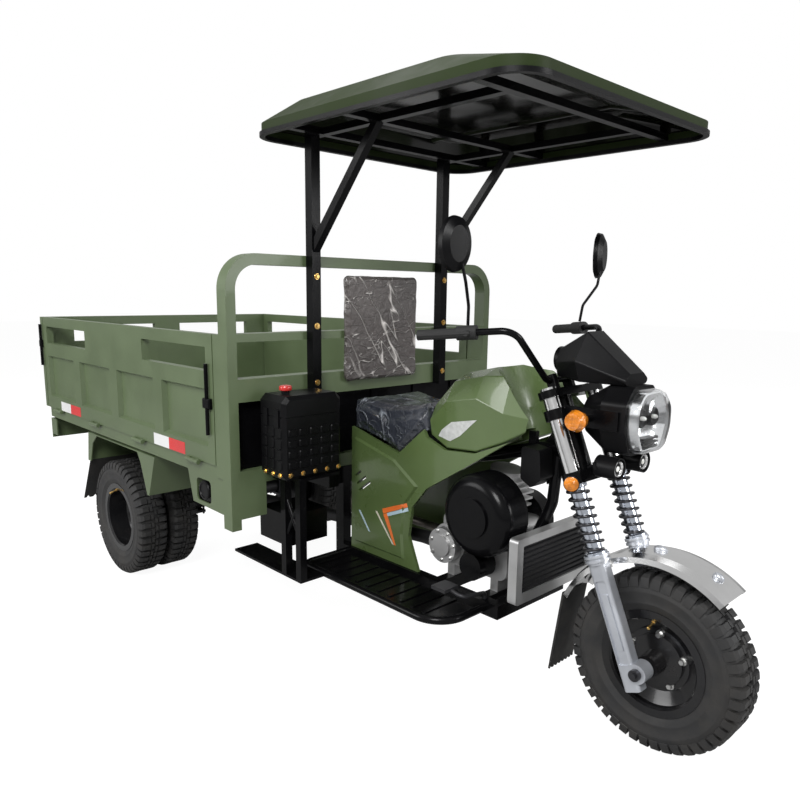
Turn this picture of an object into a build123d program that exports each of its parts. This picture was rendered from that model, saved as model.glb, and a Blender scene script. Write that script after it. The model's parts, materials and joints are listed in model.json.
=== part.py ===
"""Cargo tricycle: +X forward, +Y left, +Z up, origin on the ground under the middle. Sizes in mm."""
import math
import os

from build123d import *

# Overall sizes
OVERALL_LENGTH = 3640.0
TYRE_DIAMETER = 570.0
TYRE_WIDTH = 140.0
RIM_SEAT_RADIUS = 152.4
BED_WIDTH = 1450.0
HOOP_SETBACK = 1342.0
AXLE_BEHIND_MIDDLE = 171.0

# Clearances
SEAT_GAP = 0.3
RUN_CLEARANCE = 0.08
SWING_GAP = 7.0

# Axles
AXLE_HEIGHT = TYRE_DIAMETER / 2
FRONT_AXLE_X = OVERALL_LENGTH / 2 - TYRE_DIAMETER / 2
FRONT_AXLE_RADIUS = 10.0
SPINDLE_RADIUS = 22.0

# Steering head
RAKE = 23.0
AXLE_OFFSET = 77.0
LEG_OFFSET = 45.0
LEG_SPREAD = 125.0
LEG_TOP = 369.0
LOWER_CLAMP = (595.0, 635.0)
UPPER_CLAMP = (880.0, 905.0)
TUBE_RADIUS = 26.0
STAY_RADIUS = 19.0
STEM_RADIUS = 22.0
HEAD_RADIUS = 34.0
CLAMP_HALF_WIDTH = 36.0
TANK_SWING_RADIUS = math.hypot(LEG_OFFSET, LEG_SPREAD) + CLAMP_HALF_WIDTH + SWING_GAP

# Cargo bed
BED_HALF = BED_WIDTH / 2
PANEL_THICKNESS = 35.0
FLOOR_TOP = 750.0
FLOOR_PLATE = 6.0
RAIL_DEPTH = 50.0
RAIL_WIDTH = 35.0
RAIL_INSET = 10.0
RAIL_OUTER_Y = BED_HALF - RAIL_INSET
PANEL_LIFT = 5.0
PANEL_BOTTOM = FLOOR_TOP + PANEL_LIFT
PANEL_TOP = 1250.0
HINGE_RADIUS = 9.0
HINGE_PIN_RADIUS = 5.0
HINGE_DROP = 2.0
HINGE_Z = FLOOR_TOP - HINGE_DROP
HINGE_OUT = 8.0
TAIL_HINGE_X = -OVERALL_LENGTH / 2 + HINGE_RADIUS
TAIL_OUTER_X = TAIL_HINGE_X + HINGE_OUT
TAIL_INNER_X = TAIL_OUTER_X + PANEL_THICKNESS
BED_REAR_X = TAIL_INNER_X + SWING_GAP
HOOP_DEPTH = 60.0
HOOP_FRONT_X = FRONT_AXLE_X - HOOP_SETBACK
HOOP_REAR_X = HOOP_FRONT_X - HOOP_DEPTH
HOOP_TOP = 1542.0
HOOP_BOTTOM = 520.0
HOOP_TUBE = 40.0
CORNER_POST_DEPTH = 43.0
CORNER_POST_X = HOOP_REAR_X - CORNER_POST_DEPTH
CORNER_POST_FOOT = 712.0
POST_INNER_Y = BED_HALF - PANEL_THICKNESS
SIDE_FRONT_X = CORNER_POST_X - SWING_GAP
REAR_AXLE_X = (BED_REAR_X + HOOP_REAR_X) / 2 - AXLE_BEHIND_MIDDLE

# Stations across the rear axle
TWIN_INSET = 103.0
TWIN_SPACING = 164.0
TWIN_OUTER_Y = BED_HALF - TWIN_INSET
TWIN_INNER_Y = TWIN_OUTER_Y - TWIN_SPACING
BACKING_PLATE_Y = TWIN_INNER_Y - 127.0
BACKING_PLATE = 8.0
LEAF_WIDTH = 50.0
LEAF_Y = (BACKING_PLATE_Y - 81.0, BACKING_PLATE_Y - 81.0 + LEAF_WIDTH)

# Chassis
CHASSIS_TOP = 690.0
CHASSIS_DEPTH = 80.0
CHASSIS_Y = (LEAF_Y[0] - 25.0, LEAF_Y[0] + 25.0)
CRADLE_Y = (160.0, 200.0)
CRADLE_Z = (300.0, 350.0)
TAIL_PANEL = 8.0
TAIL_PANEL_X = (BED_REAR_X + 1.0, BED_REAR_X + 1.0 + TAIL_PANEL)

# Rider's place
COVER_Y = (172.0, 186.0)
SEAT_NOSE = 912.0
TANK_TUNNEL = 940.0
SEAT_SETBACK = 863.0
FOOTBOARD_TOP = 330.0
FOOTBOARD_OUTER_Y = 435.0
CANOPY_OVERHANG = 85.0
CANOPY_REACH = 1137.0
CANOPY_WIDTH = 1112.0
CANOPY_RIM = 1965.0
CANOPY_SHELL = 8.0
POST_Y = 355.0
POST_SIZE = 40.0
ENGINE_HALF = 105.0

FORWARD = Vector(math.cos(math.radians(RAKE)), 0, math.sin(math.radians(RAKE)))
UPWARD = Vector(-math.sin(math.radians(RAKE)), 0, math.cos(math.radians(RAKE)))
FRONT_AXLE = Vector(FRONT_AXLE_X, 0, AXLE_HEIGHT)
REAR_AXLE = Vector(REAR_AXLE_X, 0, AXLE_HEIGHT)
# Steering plane: local x ahead of the steering axis, local y left, local z up along the axis
STEER = Plane(origin=FRONT_AXLE - FORWARD * AXLE_OFFSET, x_dir=FORWARD, z_dir=UPWARD)
# The same seen from the right: local x ahead, local y up along the axis
STEER_SIDE = Plane(origin=STEER.origin, x_dir=FORWARD, z_dir=(0, -1, 0))
LOW = (Align.MIN, Align.MIN, Align.MIN)
ON_END = (Align.CENTER, Align.CENTER, Align.MIN)


def aft(distance):
    """Station at a distance behind the front axle."""
    return FRONT_AXLE_X - distance


def cab(points):
    """Points given as distance behind the front axle and height."""
    return [(aft(distance), height) for distance, height in points]


def spread(start, end, count):
    """Even stations from start to end."""
    return [start + (end - start) * index / (count - 1) for index in range(count)]


def outline(plane, points, corner=0.0):
    """Closed face through points on a plane, with rounded corners."""
    with BuildSketch(plane) as face:
        with BuildLine():
            Polyline(*points, close=True)
        make_face()
        if corner > 0:
            fillet(face.vertices(), radius=corner)
    return face.sketch


def block(x, y, z, mode=Mode.ADD):
    """Box between two limits along each axis."""
    with Locations((x[0], y[0], z[0])):
        Box(x[1] - x[0], y[1] - y[0], z[1] - z[0], align=LOW, mode=mode)


def rod(start, end, radius, mode=Mode.ADD):
    """Round bar between two points."""
    along = Vector(*end) - Vector(*start)
    with Locations(Plane(origin=start, z_dir=along)):
        Cylinder(radius, along.length, align=ON_END, mode=mode)


def tube_run(points, radius, bends):
    """Round tube swept along a path with rounded corners."""
    with BuildPart() as run:
        with BuildLine() as path:
            FilletPolyline(*points, radius=bends)
        with BuildSketch(Plane(origin=path.line @ 0, z_dir=path.line % 0)):
            Circle(radius)
        sweep(path=path.line)
    return run.part


def axle_plane(x, y):
    """Plane through an axle that lies along Y: local x is the radius, local y runs across."""
    return Plane(origin=(x, y, AXLE_HEIGHT))


def axle_line(x):
    """Axis of the wheels at one station."""
    return Axis((x, 0, AXLE_HEIGHT), (0, 1, 0))


def across(x, y):
    """Plane square to an axle that lies along Y."""
    return Plane(origin=(x, y, AXLE_HEIGHT), x_dir=(1, 0, 0), z_dir=(0, 1, 0))


def serrate(x, y, z, count, depth):
    """Row of notches cut along X into a lower edge that runs along Y."""
    pitch = (y[1] - y[0]) / count
    for index in range(count):
        foot = y[0] + index * pitch
        notch = [(foot, z - depth), (foot + pitch, z - depth), (foot + pitch / 2, z + depth)]
        extrude(outline(Plane.YZ.offset(x[0]), notch), amount=x[1] - x[0], mode=Mode.SUBTRACT)


def save(piece, name):
    """Names one piece and writes it."""
    piece.part.label = name
    export_step(piece.part, f"parts/{name}.step")


os.makedirs("parts", exist_ok=True)

# Tyres: flat-sided rings with a lug on each half of every side
TYRE_SIDES = 24
TREAD_DEPTH = 10.0
BEAD_HALF = 52.0
LUG_LENGTH = 46.0
LUG_WIDTH = 46.0
LUG_Y = 35.0
TREAD_RADIUS = TYRE_DIAMETER / 2 - TREAD_DEPTH
TYRE_HALF_SECTION = [
    # radius, distance from the middle
    (174.0, BEAD_HALF),
    (222.0, TYRE_WIDTH / 2),
    (TREAD_RADIUS, 60.0),
]
TYRE_SECTION = [(r, -w) for r, w in TYRE_HALF_SECTION] + [(r, w) for r, w in reversed(TYRE_HALF_SECTION)]


def tyre_ring(y, radius):
    """Flat-sided face square to the front axle, with a side facing the ground."""
    step = 2 * math.pi / TYRE_SIDES
    reach = radius / math.cos(step / 2)
    turns = [(index + 0.5) * step for index in range(TYRE_SIDES)]
    return outline(across(FRONT_AXLE_X, y), [(reach * math.cos(t), reach * math.sin(t)) for t in turns])


with BuildPart() as front_tyre:
    loft(sections=[tyre_ring(w, r) for r, w in TYRE_SECTION], ruled=True)
    bore = tyre_ring(-TYRE_WIDTH, RIM_SEAT_RADIUS + SEAT_GAP)
    extrude(bore, amount=2 * TYRE_WIDTH, mode=Mode.SUBTRACT)
    with Locations(across(FRONT_AXLE_X, 0)):
        with PolarLocations(TREAD_RADIUS, TYRE_SIDES):
            with Locations((0, 0, LUG_Y), (0, 0, -LUG_Y)):
                Box(2 * TREAD_DEPTH, LUG_LENGTH, LUG_WIDTH)
save(front_tyre, "front_tyre")

with BuildPart() as rear_tyres_right:
    for station in (TWIN_OUTER_Y, TWIN_INNER_Y):
        add(front_tyre.part.moved(Location((REAR_AXLE_X - FRONT_AXLE_X, -station, 0))))
save(rear_tyres_right, "rear_tyres_right")

with BuildPart() as rear_tyres_left:
    mirror(rear_tyres_right.part, about=Plane.XZ)
save(rear_tyres_left, "rear_tyres_left")

# Rims and hubs
FLANGE_RADIUS = 171.0
FLANGE_Y = (BEAD_HALF + 0.5, 58.0)
WELL_RADIUS = 140.0
RIM_OUTLINE = [
    (FLANGE_RADIUS, -FLANGE_Y[1]), (FLANGE_RADIUS, -FLANGE_Y[0]),
    (RIM_SEAT_RADIUS, -FLANGE_Y[0]), (RIM_SEAT_RADIUS, FLANGE_Y[0]),
    (FLANGE_RADIUS, FLANGE_Y[0]), (FLANGE_RADIUS, FLANGE_Y[1]),
    (146.0, FLANGE_Y[1]), (WELL_RADIUS, 50.0), (WELL_RADIUS, -50.0), (146.0, -FLANGE_Y[1]),
]
FRONT_HUB_END = 84.0
FRONT_BORE = FRONT_AXLE_RADIUS + RUN_CLEARANCE
FRONT_RIM_PIECES = [
    RIM_OUTLINE,
    [(142.0, -34.0), (142.0, -24.0), (105.0, -2.0), (60.0, -2.0), (60.0, -12.0), (102.0, -12.0)],
    [(FRONT_BORE, -FRONT_HUB_END), (34.0, -FRONT_HUB_END), (38.0, -30.0),
     (84.0, -24.0), (84.0, -11.0), (40.0, -4.0), (112.0, 12.0), (112.0, 60.0), (40.0, 64.0),
     (34.0, FRONT_HUB_END), (FRONT_BORE, FRONT_HUB_END)],
]
with BuildPart() as front_rim:
    for piece in FRONT_RIM_PIECES:
        revolve(outline(axle_plane(FRONT_AXLE_X, 0), piece), axis=axle_line(FRONT_AXLE_X))
save(front_rim, "front_rim")

TWIN_MIDDLE = (TWIN_OUTER_Y + TWIN_INNER_Y) / 2
DISC_STEP = TWIN_SPACING / 2
DISC_PLATE = 8.0
DISC_OUTLINE = [(142.0, -38.0), (142.0, -46.0), (104.0, -DISC_STEP), (44.0, -DISC_STEP),
                (44.0, DISC_PLATE - DISC_STEP), (100.0, DISC_PLATE - DISC_STEP)]
HUB_BORE = SPINDLE_RADIUS + RUN_CLEARANCE
DRUM_RADIUS = 126.0
DRUM_DEPTH = 90.0
DRUM_INNER_Y = BACKING_PLATE_Y + BACKING_PLATE + 6.0
HUB_END_Y = TWIN_MIDDLE + 78.0
with BuildPart() as rear_rims_right:
    for station, side in ((-TWIN_OUTER_Y, 1), (-TWIN_INNER_Y, -1)):
        plane = axle_plane(REAR_AXLE_X, station)
        revolve(outline(plane, RIM_OUTLINE), axis=axle_line(REAR_AXLE_X))
        disc = [(r, -side * w) for r, w in DISC_OUTLINE]
        revolve(outline(plane, disc), axis=axle_line(REAR_AXLE_X))
    hub = [(HUB_BORE, -DRUM_INNER_Y), (DRUM_RADIUS, -DRUM_INNER_Y), (DRUM_RADIUS, -DRUM_INNER_Y - DRUM_DEPTH),
           (70.0, -DRUM_INNER_Y - DRUM_DEPTH - 8), (66.0, 18 - TWIN_MIDDLE), (84.0, 7 - TWIN_MIDDLE),
           (84.0, -TWIN_MIDDLE - 7), (48.0, -TWIN_MIDDLE - 14), (44.0, 8 - HUB_END_Y), (26.0, -HUB_END_Y),
           (HUB_BORE, -HUB_END_Y)]
    revolve(outline(axle_plane(REAR_AXLE_X, 0), hub), axis=axle_line(REAR_AXLE_X))
save(rear_rims_right, "rear_rims_right")

with BuildPart() as rear_rims_left:
    mirror(rear_rims_right.part, about=Plane.XZ)
save(rear_rims_left, "rear_rims_left")

# Rear axle, springs and shaft
LEAF_ARC_RADIUS = 900.0
LEAF_TOP = 400.0
LEAF_THICKNESS = 10.0
LEAF_HALF_SPANS = (480.0, 400.0, 310.0, 220.0, 130.0)
LEAF_BOTTOM = LEAF_TOP - LEAF_THICKNESS * len(LEAF_HALF_SPANS)
AXLE_TUBE_RADIUS = 38.0
SPINDLE_END_Y = HUB_END_Y - 28.0
SHAFT_FRONT = Vector(aft(845), 0, 430)
SHAFT_AXIS = (SHAFT_FRONT - REAR_AXLE).normalized()
PINION_END = REAR_AXLE + SHAFT_AXIS * 200
with BuildPart() as rear_axle:
    for reach, radius in ((BACKING_PLATE_Y, AXLE_TUBE_RADIUS), (SPINDLE_END_Y, SPINDLE_RADIUS)):
        rod(REAR_AXLE - Vector(0, reach, 0), REAR_AXLE + Vector(0, reach, 0), radius)
    with Locations(REAR_AXLE):
        Sphere(118)
    rod(REAR_AXLE, PINION_END, 50)
    for side in (-1, 1):
        inner = REAR_AXLE + Vector(0, side * BACKING_PLATE_Y, 0)
        rod(inner, inner + Vector(0, side * BACKING_PLATE, 0), DRUM_RADIUS)
        near, far = sorted((side * LEAF_Y[0], side * LEAF_Y[1]))
        block((REAR_AXLE_X - 36, REAR_AXLE_X + 36), (near, far), (AXLE_HEIGHT + 20, LEAF_BOTTOM))
save(rear_axle, "rear_axle")

CLAMP_PLATE_X = (REAR_AXLE_X - 56, REAR_AXLE_X + 56)
CLAMP_PLATE_Y = (-LEAF_Y[1] - 14, 14 - LEAF_Y[0])
CLAMP_PLATE = 12.0
CLAMP_LOW = AXLE_HEIGHT - AXLE_TUBE_RADIUS - SEAT_GAP
with BuildPart() as leaf_springs:
    arc_centre = (REAR_AXLE_X, LEAF_TOP + LEAF_ARC_RADIUS)
    with BuildSketch(Plane.XZ.offset(LEAF_Y[0])):
        for index, span in enumerate(LEAF_HALF_SPANS):
            upper = LEAF_ARC_RADIUS + index * LEAF_THICKNESS
            half = math.degrees(math.asin(span / upper))
            with BuildLine():
                top = CenterArc(arc_centre, upper, 270 - half, 2 * half)
                under = CenterArc(arc_centre, upper + LEAF_THICKNESS, 270 - half, 2 * half)
                Line(top @ 0, under @ 0)
                Line(top @ 1, under @ 1)
            make_face()
    extrude(amount=LEAF_WIDTH)
    block(CLAMP_PLATE_X, CLAMP_PLATE_Y, (LEAF_TOP - 2, LEAF_TOP - 2 + CLAMP_PLATE))
    for x in (REAR_AXLE_X - 46, REAR_AXLE_X + 46):
        for y in (-LEAF_Y[1] - 7, 7 - LEAF_Y[0]):
            rod((x, y, CLAMP_LOW - CLAMP_PLATE - 10), (x, y, LEAF_TOP + 22), 5.5)
    block(CLAMP_PLATE_X, CLAMP_PLATE_Y, (CLAMP_LOW - CLAMP_PLATE, CLAMP_LOW))
    mirror(about=Plane.XZ)
save(leaf_springs, "leaf_springs")

with BuildPart() as prop_shaft:
    rod(PINION_END + SHAFT_AXIS * SEAT_GAP, PINION_END + SHAFT_AXIS * 30, 46)
    rod(PINION_END + SHAFT_AXIS * 20, SHAFT_FRONT - SHAFT_AXIS * 60, 28)
    rod(SHAFT_FRONT - SHAFT_AXIS * 80, SHAFT_FRONT - SHAFT_AXIS * (40 + SEAT_GAP), 46)
save(prop_shaft, "prop_shaft")

# Chassis frame
HEAD_TUBE = (LOWER_CLAMP[1] + 1, UPPER_CLAMP[0] - 1)
CHASSIS_Z = (CHASSIS_TOP - CHASSIS_DEPTH, CHASSIS_TOP)
CRADLE_X = (aft(1385), aft(495))
UPRIGHT_X = (CRADLE_X[0], aft(1335))
CROSS_MEMBER = 50.0
CROSS_MEMBER_X = spread(TAIL_PANEL_X[1] + 31, UPRIGHT_X[0], 5)
CROSS_MEMBER_HALF = max(CHASSIS_Y[1], CRADLE_Y[1])
CRADLE_CROSS = 40.0
CRADLE_CROSS_AFT = (1385, 820, 610, 535)
HANGER_HALF_SPAN = LEAF_HALF_SPANS[0]
HANGER_Z = LEAF_TOP + LEAF_ARC_RADIUS - math.sqrt(LEAF_ARC_RADIUS**2 - HANGER_HALF_SPAN**2)
BACKBONE_FRONT = STEER.from_local_coords((0, 0, 720))
BACKBONE_RADIUS = 24.0
GUSSET_HALF = 9.0
GUSSET = [(320, 852), (395, 1020), (475, 890), (451, 760)]
DOWN_TUBE_RADIUS = 20.0
DOWN_TUBE = [(415, 0, 870), (430, 0, 700), (450, 0, 650), (492, 0, 560), (510, 0, 330)]
TANK_PADS = [
    # distance behind the front axle of rear and front end, foot
    (535, 505, 850),
    (795, 765, 790),
]
RADIATOR_AFT = (435.0, 400.0)
with BuildPart() as chassis_frame:
    block((TAIL_PANEL_X[1], UPRIGHT_X[1]), CHASSIS_Y, CHASSIS_Z)
    block(UPRIGHT_X, CRADLE_Y, (CRADLE_Z[0], CHASSIS_Z[0] + 20))
    block(CRADLE_X, CRADLE_Y, CRADLE_Z)
    for x in (REAR_AXLE_X - HANGER_HALF_SPAN, REAR_AXLE_X + HANGER_HALF_SPAN):
        block((x - 14, x + 14), (CHASSIS_Y[1] - 20, LEAF_Y[1]), (HANGER_Z + SEAT_GAP, CHASSIS_Z[0] + 30))
    mirror(about=Plane.XZ)
    for x in CROSS_MEMBER_X:
        member_y = (-CROSS_MEMBER_HALF, CROSS_MEMBER_HALF)
        block((x, x + CROSS_MEMBER), member_y, (CHASSIS_Z[0] + 10, CHASSIS_Z[1]))
    for distance in CRADLE_CROSS_AFT:
        block((aft(distance), aft(distance) + CRADLE_CROSS), (-CRADLE_Y[1], CRADLE_Y[1]), CRADLE_Z)
    add(tube_run([(aft(d), y, z) for d, y, z in DOWN_TUBE], DOWN_TUBE_RADIUS, [60, 60, 60]))
    rod(BACKBONE_FRONT, (aft(1355), 0, 650), BACKBONE_RADIUS)
    extrude(outline(Plane.XZ.offset(-GUSSET_HALF), cab(GUSSET)), amount=2 * GUSSET_HALF)
    block((aft(855), aft(815)), (-COVER_Y[0], COVER_Y[0]), (770, 790))
    for rear, front, foot in TANK_PADS:
        block((aft(rear), aft(front)), (-GUSSET_HALF, GUSSET_HALF), (foot, TANK_TUNNEL))
    block((aft(515), aft(RADIATOR_AFT[0])), (-30, 30), (480, 510))
    with BuildSketch(STEER.offset(HEAD_TUBE[0])):
        Circle(HEAD_RADIUS)
    extrude(amount=HEAD_TUBE[1] - HEAD_TUBE[0])
    with BuildSketch(STEER.offset(HEAD_TUBE[0])):
        Circle(STEM_RADIUS)
    extrude(amount=HEAD_TUBE[1] - HEAD_TUBE[0], mode=Mode.SUBTRACT)
save(chassis_frame, "chassis_frame")

# Bed floor with side rails, skirts and fixed hinge knuckles
FENDER_FRONT = 525.0
SKIRT_REAR_X = (REAR_AXLE_X + FENDER_FRONT + HOOP_REAR_X) / 2
SKIRT_Z = (566.0, FLOOR_TOP - 40.0)
SKIRT_PLATE = 6.0
SKIRT_HOLE = (112.0, 92.0)
BEARER = 50.0
BEARER_X = spread(BED_REAR_X + 21, CORNER_POST_X - 30, 6)
HINGE_END = 170.0
SIDE_HINGE_X = spread(BED_REAR_X + HINGE_END, SIDE_FRONT_X - HINGE_END, 4)
TAIL_HINGE_Y = spread(205.0 - BED_HALF, BED_HALF - 205.0, 3)
KNUCKLE_FIXED = 44.0
KNUCKLE_MOVING = 28.0
KNUCKLE_GAP = 1.0
PIN_HALF = KNUCKLE_FIXED / 2 + KNUCKLE_GAP + KNUCKLE_MOVING
KNUCKLE_SHIFT = (KNUCKLE_FIXED + KNUCKLE_MOVING) / 2 + KNUCKLE_GAP
PIN_BORE = HINGE_PIN_RADIUS + RUN_CLEARANCE
SIDE_HINGE_Y = BED_HALF + HINGE_OUT
RAIL_BOTTOM = FLOOR_TOP - RAIL_DEPTH
with BuildPart() as bed_floor:
    block((BED_REAR_X, HOOP_REAR_X), (0, RAIL_OUTER_Y), (FLOOR_TOP - FLOOR_PLATE, FLOOR_TOP))
    block((BED_REAR_X, HOOP_REAR_X), (RAIL_OUTER_Y - RAIL_WIDTH, RAIL_OUTER_Y), (RAIL_BOTTOM, FLOOR_TOP))
    for x in BEARER_X:
        block((x, x + BEARER), (0, RAIL_OUTER_Y - RAIL_WIDTH / 2), (CHASSIS_TOP, FLOOR_TOP - FLOOR_PLATE / 2))
    skirt = [(SKIRT_REAR_X, SKIRT_Z[1]), (SKIRT_REAR_X + 40, SKIRT_Z[0] + 5), (HOOP_REAR_X, SKIRT_Z[0]),
             (HOOP_REAR_X, SKIRT_Z[1])]
    extrude(outline(Plane.XZ.offset(-RAIL_OUTER_Y), skirt), amount=SKIRT_PLATE)
    with BuildSketch(Plane.XZ.offset(-RAIL_OUTER_Y)):
        with Locations(((SKIRT_REAR_X + HOOP_REAR_X) / 2 - 19, SKIRT_Z[0] + 66)):
            RectangleRounded(*SKIRT_HOLE, 18)
    extrude(amount=SKIRT_PLATE, mode=Mode.SUBTRACT)
    for x in SIDE_HINGE_X:
        ends = (x - KNUCKLE_FIXED / 2, x + KNUCKLE_FIXED / 2)
        block(ends, (RAIL_OUTER_Y - 4, SIDE_HINGE_Y), (HINGE_Z - HINGE_RADIUS, HINGE_Z))
        rod((ends[0], SIDE_HINGE_Y, HINGE_Z), (ends[1], SIDE_HINGE_Y, HINGE_Z), HINGE_RADIUS)
        rod((x - PIN_HALF, SIDE_HINGE_Y, HINGE_Z), (x + PIN_HALF, SIDE_HINGE_Y, HINGE_Z), HINGE_PIN_RADIUS)
    mirror(about=Plane.XZ)
    block((BED_REAR_X, BED_REAR_X + 30), (-RAIL_OUTER_Y, RAIL_OUTER_Y), (RAIL_BOTTOM, FLOOR_TOP))
    for y in ((-RAIL_OUTER_Y, SEAT_GAP - POST_INNER_Y), (POST_INNER_Y - SEAT_GAP, RAIL_OUTER_Y)):
        notch_z = (CORNER_POST_FOOT - SEAT_GAP, FLOOR_TOP)
        block((CORNER_POST_X - SEAT_GAP, HOOP_REAR_X), y, notch_z, mode=Mode.SUBTRACT)
    for y in TAIL_HINGE_Y:
        ends = (y - KNUCKLE_FIXED / 2, y + KNUCKLE_FIXED / 2)
        block((TAIL_HINGE_X, BED_REAR_X + 4), ends, (HINGE_Z - HINGE_RADIUS, HINGE_Z - 1))
        rod((TAIL_HINGE_X, ends[0], HINGE_Z), (TAIL_HINGE_X, ends[1], HINGE_Z), HINGE_RADIUS)
        rod((TAIL_HINGE_X, y - PIN_HALF, HINGE_Z), (TAIL_HINGE_X, y + PIN_HALF, HINGE_Z), HINGE_PIN_RADIUS)
save(bed_floor, "bed_floor")

# Drop sides
SIDE_LENGTH = SIDE_FRONT_X - BED_REAR_X
SIDE_MIDDLE = (BED_REAR_X + SIDE_FRONT_X) / 2
RECESS_END = 10.0
RECESS_BAR = 80.0
RECESS_HEIGHT = 222.0
RECESS_Z = 932.0
RECESS_DEPTH = 20.0
RECESS_SLOPE = 28.0
RECESS_PITCH = (SIDE_LENGTH - 2 * RECESS_END) / 4
WINDOW_HEIGHT = 90.0
WINDOW_Z = 1156.0
WINDOW_SILL = WINDOW_Z - WINDOW_HEIGHT / 2
WINDOW_END = 50.0
WINDOW_BAR = 644.0
WINDOW_LENGTH = (SIDE_LENGTH - 2 * WINDOW_END - WINDOW_BAR) / 2
with BuildPart() as drop_side_right:
    block((BED_REAR_X, SIDE_FRONT_X), (-BED_HALF, PANEL_THICKNESS - BED_HALF), (PANEL_BOTTOM, WINDOW_SILL))
    with BuildSketch(Plane.XZ.offset(BED_HALF)):
        with Locations((SIDE_MIDDLE, RECESS_Z)):
            with GridLocations(RECESS_PITCH, 1, 4, 1):
                Rectangle(RECESS_PITCH - RECESS_BAR, RECESS_HEIGHT)
    extrude(amount=-RECESS_DEPTH, taper=RECESS_SLOPE, mode=Mode.SUBTRACT)
    for x in SIDE_HINGE_X:
        for centre in (x - KNUCKLE_SHIFT, x + KNUCKLE_SHIFT):
            ends = (centre - KNUCKLE_MOVING / 2, centre + KNUCKLE_MOVING / 2)
            block(ends, (-SIDE_HINGE_Y, 4 - BED_HALF), (HINGE_Z, PANEL_BOTTOM + 4))
            rod((ends[0], -SIDE_HINGE_Y, HINGE_Z), (ends[1], -SIDE_HINGE_Y, HINGE_Z), HINGE_RADIUS)
        pin = [(x - PIN_HALF, -SIDE_HINGE_Y, HINGE_Z), (x + PIN_HALF, -SIDE_HINGE_Y, HINGE_Z)]
        rod(*pin, PIN_BORE, mode=Mode.SUBTRACT)
save(drop_side_right, "drop_side_right")

with BuildPart() as drop_side_left:
    mirror(drop_side_right.part, about=Plane.XZ)
save(drop_side_left, "drop_side_left")

# Window rails along the top of the drop sides
with BuildPart() as side_rail_right:
    block((BED_REAR_X, SIDE_FRONT_X), (-BED_HALF, PANEL_THICKNESS - BED_HALF), (WINDOW_SILL, PANEL_TOP))
    with BuildSketch(Plane.XZ.offset(BED_HALF)):
        with Locations((SIDE_MIDDLE, WINDOW_Z)):
            with GridLocations(WINDOW_LENGTH + WINDOW_BAR, 1, 2, 1):
                Rectangle(WINDOW_LENGTH, WINDOW_HEIGHT)
    extrude(amount=-PANEL_THICKNESS, mode=Mode.SUBTRACT)
save(side_rail_right, "side_rail_right")

with BuildPart() as side_rail_left:
    mirror(side_rail_right.part, about=Plane.XZ)
save(side_rail_left, "side_rail_left")

LATCH_OUT = 16.0
HANDLE_OUT = 9.0
HANDLE_RADIUS = 7.0
SIDE_HANDLE_X = SIDE_FRONT_X - 34.0
with BuildPart() as side_latch_right:
    block((SIDE_FRONT_X - 60, SIDE_FRONT_X - 8), (-BED_HALF - LATCH_OUT, -BED_HALF), (970, 1010))
    chamfer(side_latch_right.faces().sort_by(Axis.Y)[0].edges(), length=5)
    foot = (SIDE_HANDLE_X, -BED_HALF - HANDLE_OUT, 870)
    rod(foot, (SIDE_HANDLE_X, -BED_HALF - HANDLE_OUT, 1140), HANDLE_RADIUS)
save(side_latch_right, "side_latch_right")

with BuildPart() as side_latch_left:
    mirror(side_latch_right.part, about=Plane.XZ)
save(side_latch_left, "side_latch_left")

# Tailgate
TAIL_RECESS_PITCH = (BED_WIDTH - 82.0) / 3
TAIL_WINDOW_BAR = 160.0
TAIL_WINDOW = (BED_WIDTH - 330.0 - TAIL_WINDOW_BAR) / 2
with BuildPart() as tailgate:
    block((TAIL_OUTER_X, TAIL_INNER_X), (-BED_HALF, BED_HALF), (PANEL_BOTTOM, PANEL_TOP))
    with BuildSketch(Plane.YZ.offset(TAIL_OUTER_X)):
        with Locations((0, RECESS_Z)):
            with GridLocations(TAIL_RECESS_PITCH, 1, 3, 1):
                Rectangle(TAIL_RECESS_PITCH - RECESS_BAR, RECESS_HEIGHT)
    extrude(amount=RECESS_DEPTH, taper=RECESS_SLOPE, mode=Mode.SUBTRACT)
    with BuildSketch(Plane.YZ.offset(TAIL_OUTER_X)):
        with Locations((0, WINDOW_Z)):
            with GridLocations(TAIL_WINDOW + TAIL_WINDOW_BAR, 1, 2, 1):
                Rectangle(TAIL_WINDOW, WINDOW_HEIGHT)
    extrude(amount=PANEL_THICKNESS, mode=Mode.SUBTRACT)
    for y in TAIL_HINGE_Y:
        for centre in (y - KNUCKLE_SHIFT, y + KNUCKLE_SHIFT):
            ends = (centre - KNUCKLE_MOVING / 2, centre + KNUCKLE_MOVING / 2)
            block((TAIL_HINGE_X, TAIL_OUTER_X + 4), ends, (HINGE_Z, PANEL_BOTTOM + 4))
            rod((TAIL_HINGE_X, ends[0], HINGE_Z), (TAIL_HINGE_X, ends[1], HINGE_Z), HINGE_RADIUS)
        pin = [(TAIL_HINGE_X, y - PIN_HALF, HINGE_Z), (TAIL_HINGE_X, y + PIN_HALF, HINGE_Z)]
        rod(*pin, PIN_BORE, mode=Mode.SUBTRACT)
save(tailgate, "tailgate")

TAIL_HANDLE_X = (TAIL_OUTER_X + TAIL_INNER_X) / 2
with BuildPart() as tail_latches:
    block((TAIL_OUTER_X + 4, TAIL_INNER_X - 4), (-BED_HALF - LATCH_OUT, -BED_HALF), (1085, 1125))
    chamfer(tail_latches.faces().sort_by(Axis.Y)[0].edges(), length=5)
    foot = (TAIL_HANDLE_X, -BED_HALF - HANDLE_OUT, 985)
    rod(foot, (TAIL_HANDLE_X, -BED_HALF - HANDLE_OUT, 1210), HANDLE_RADIUS)
    mirror(about=Plane.XZ)
save(tail_latches, "tail_latches")

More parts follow.
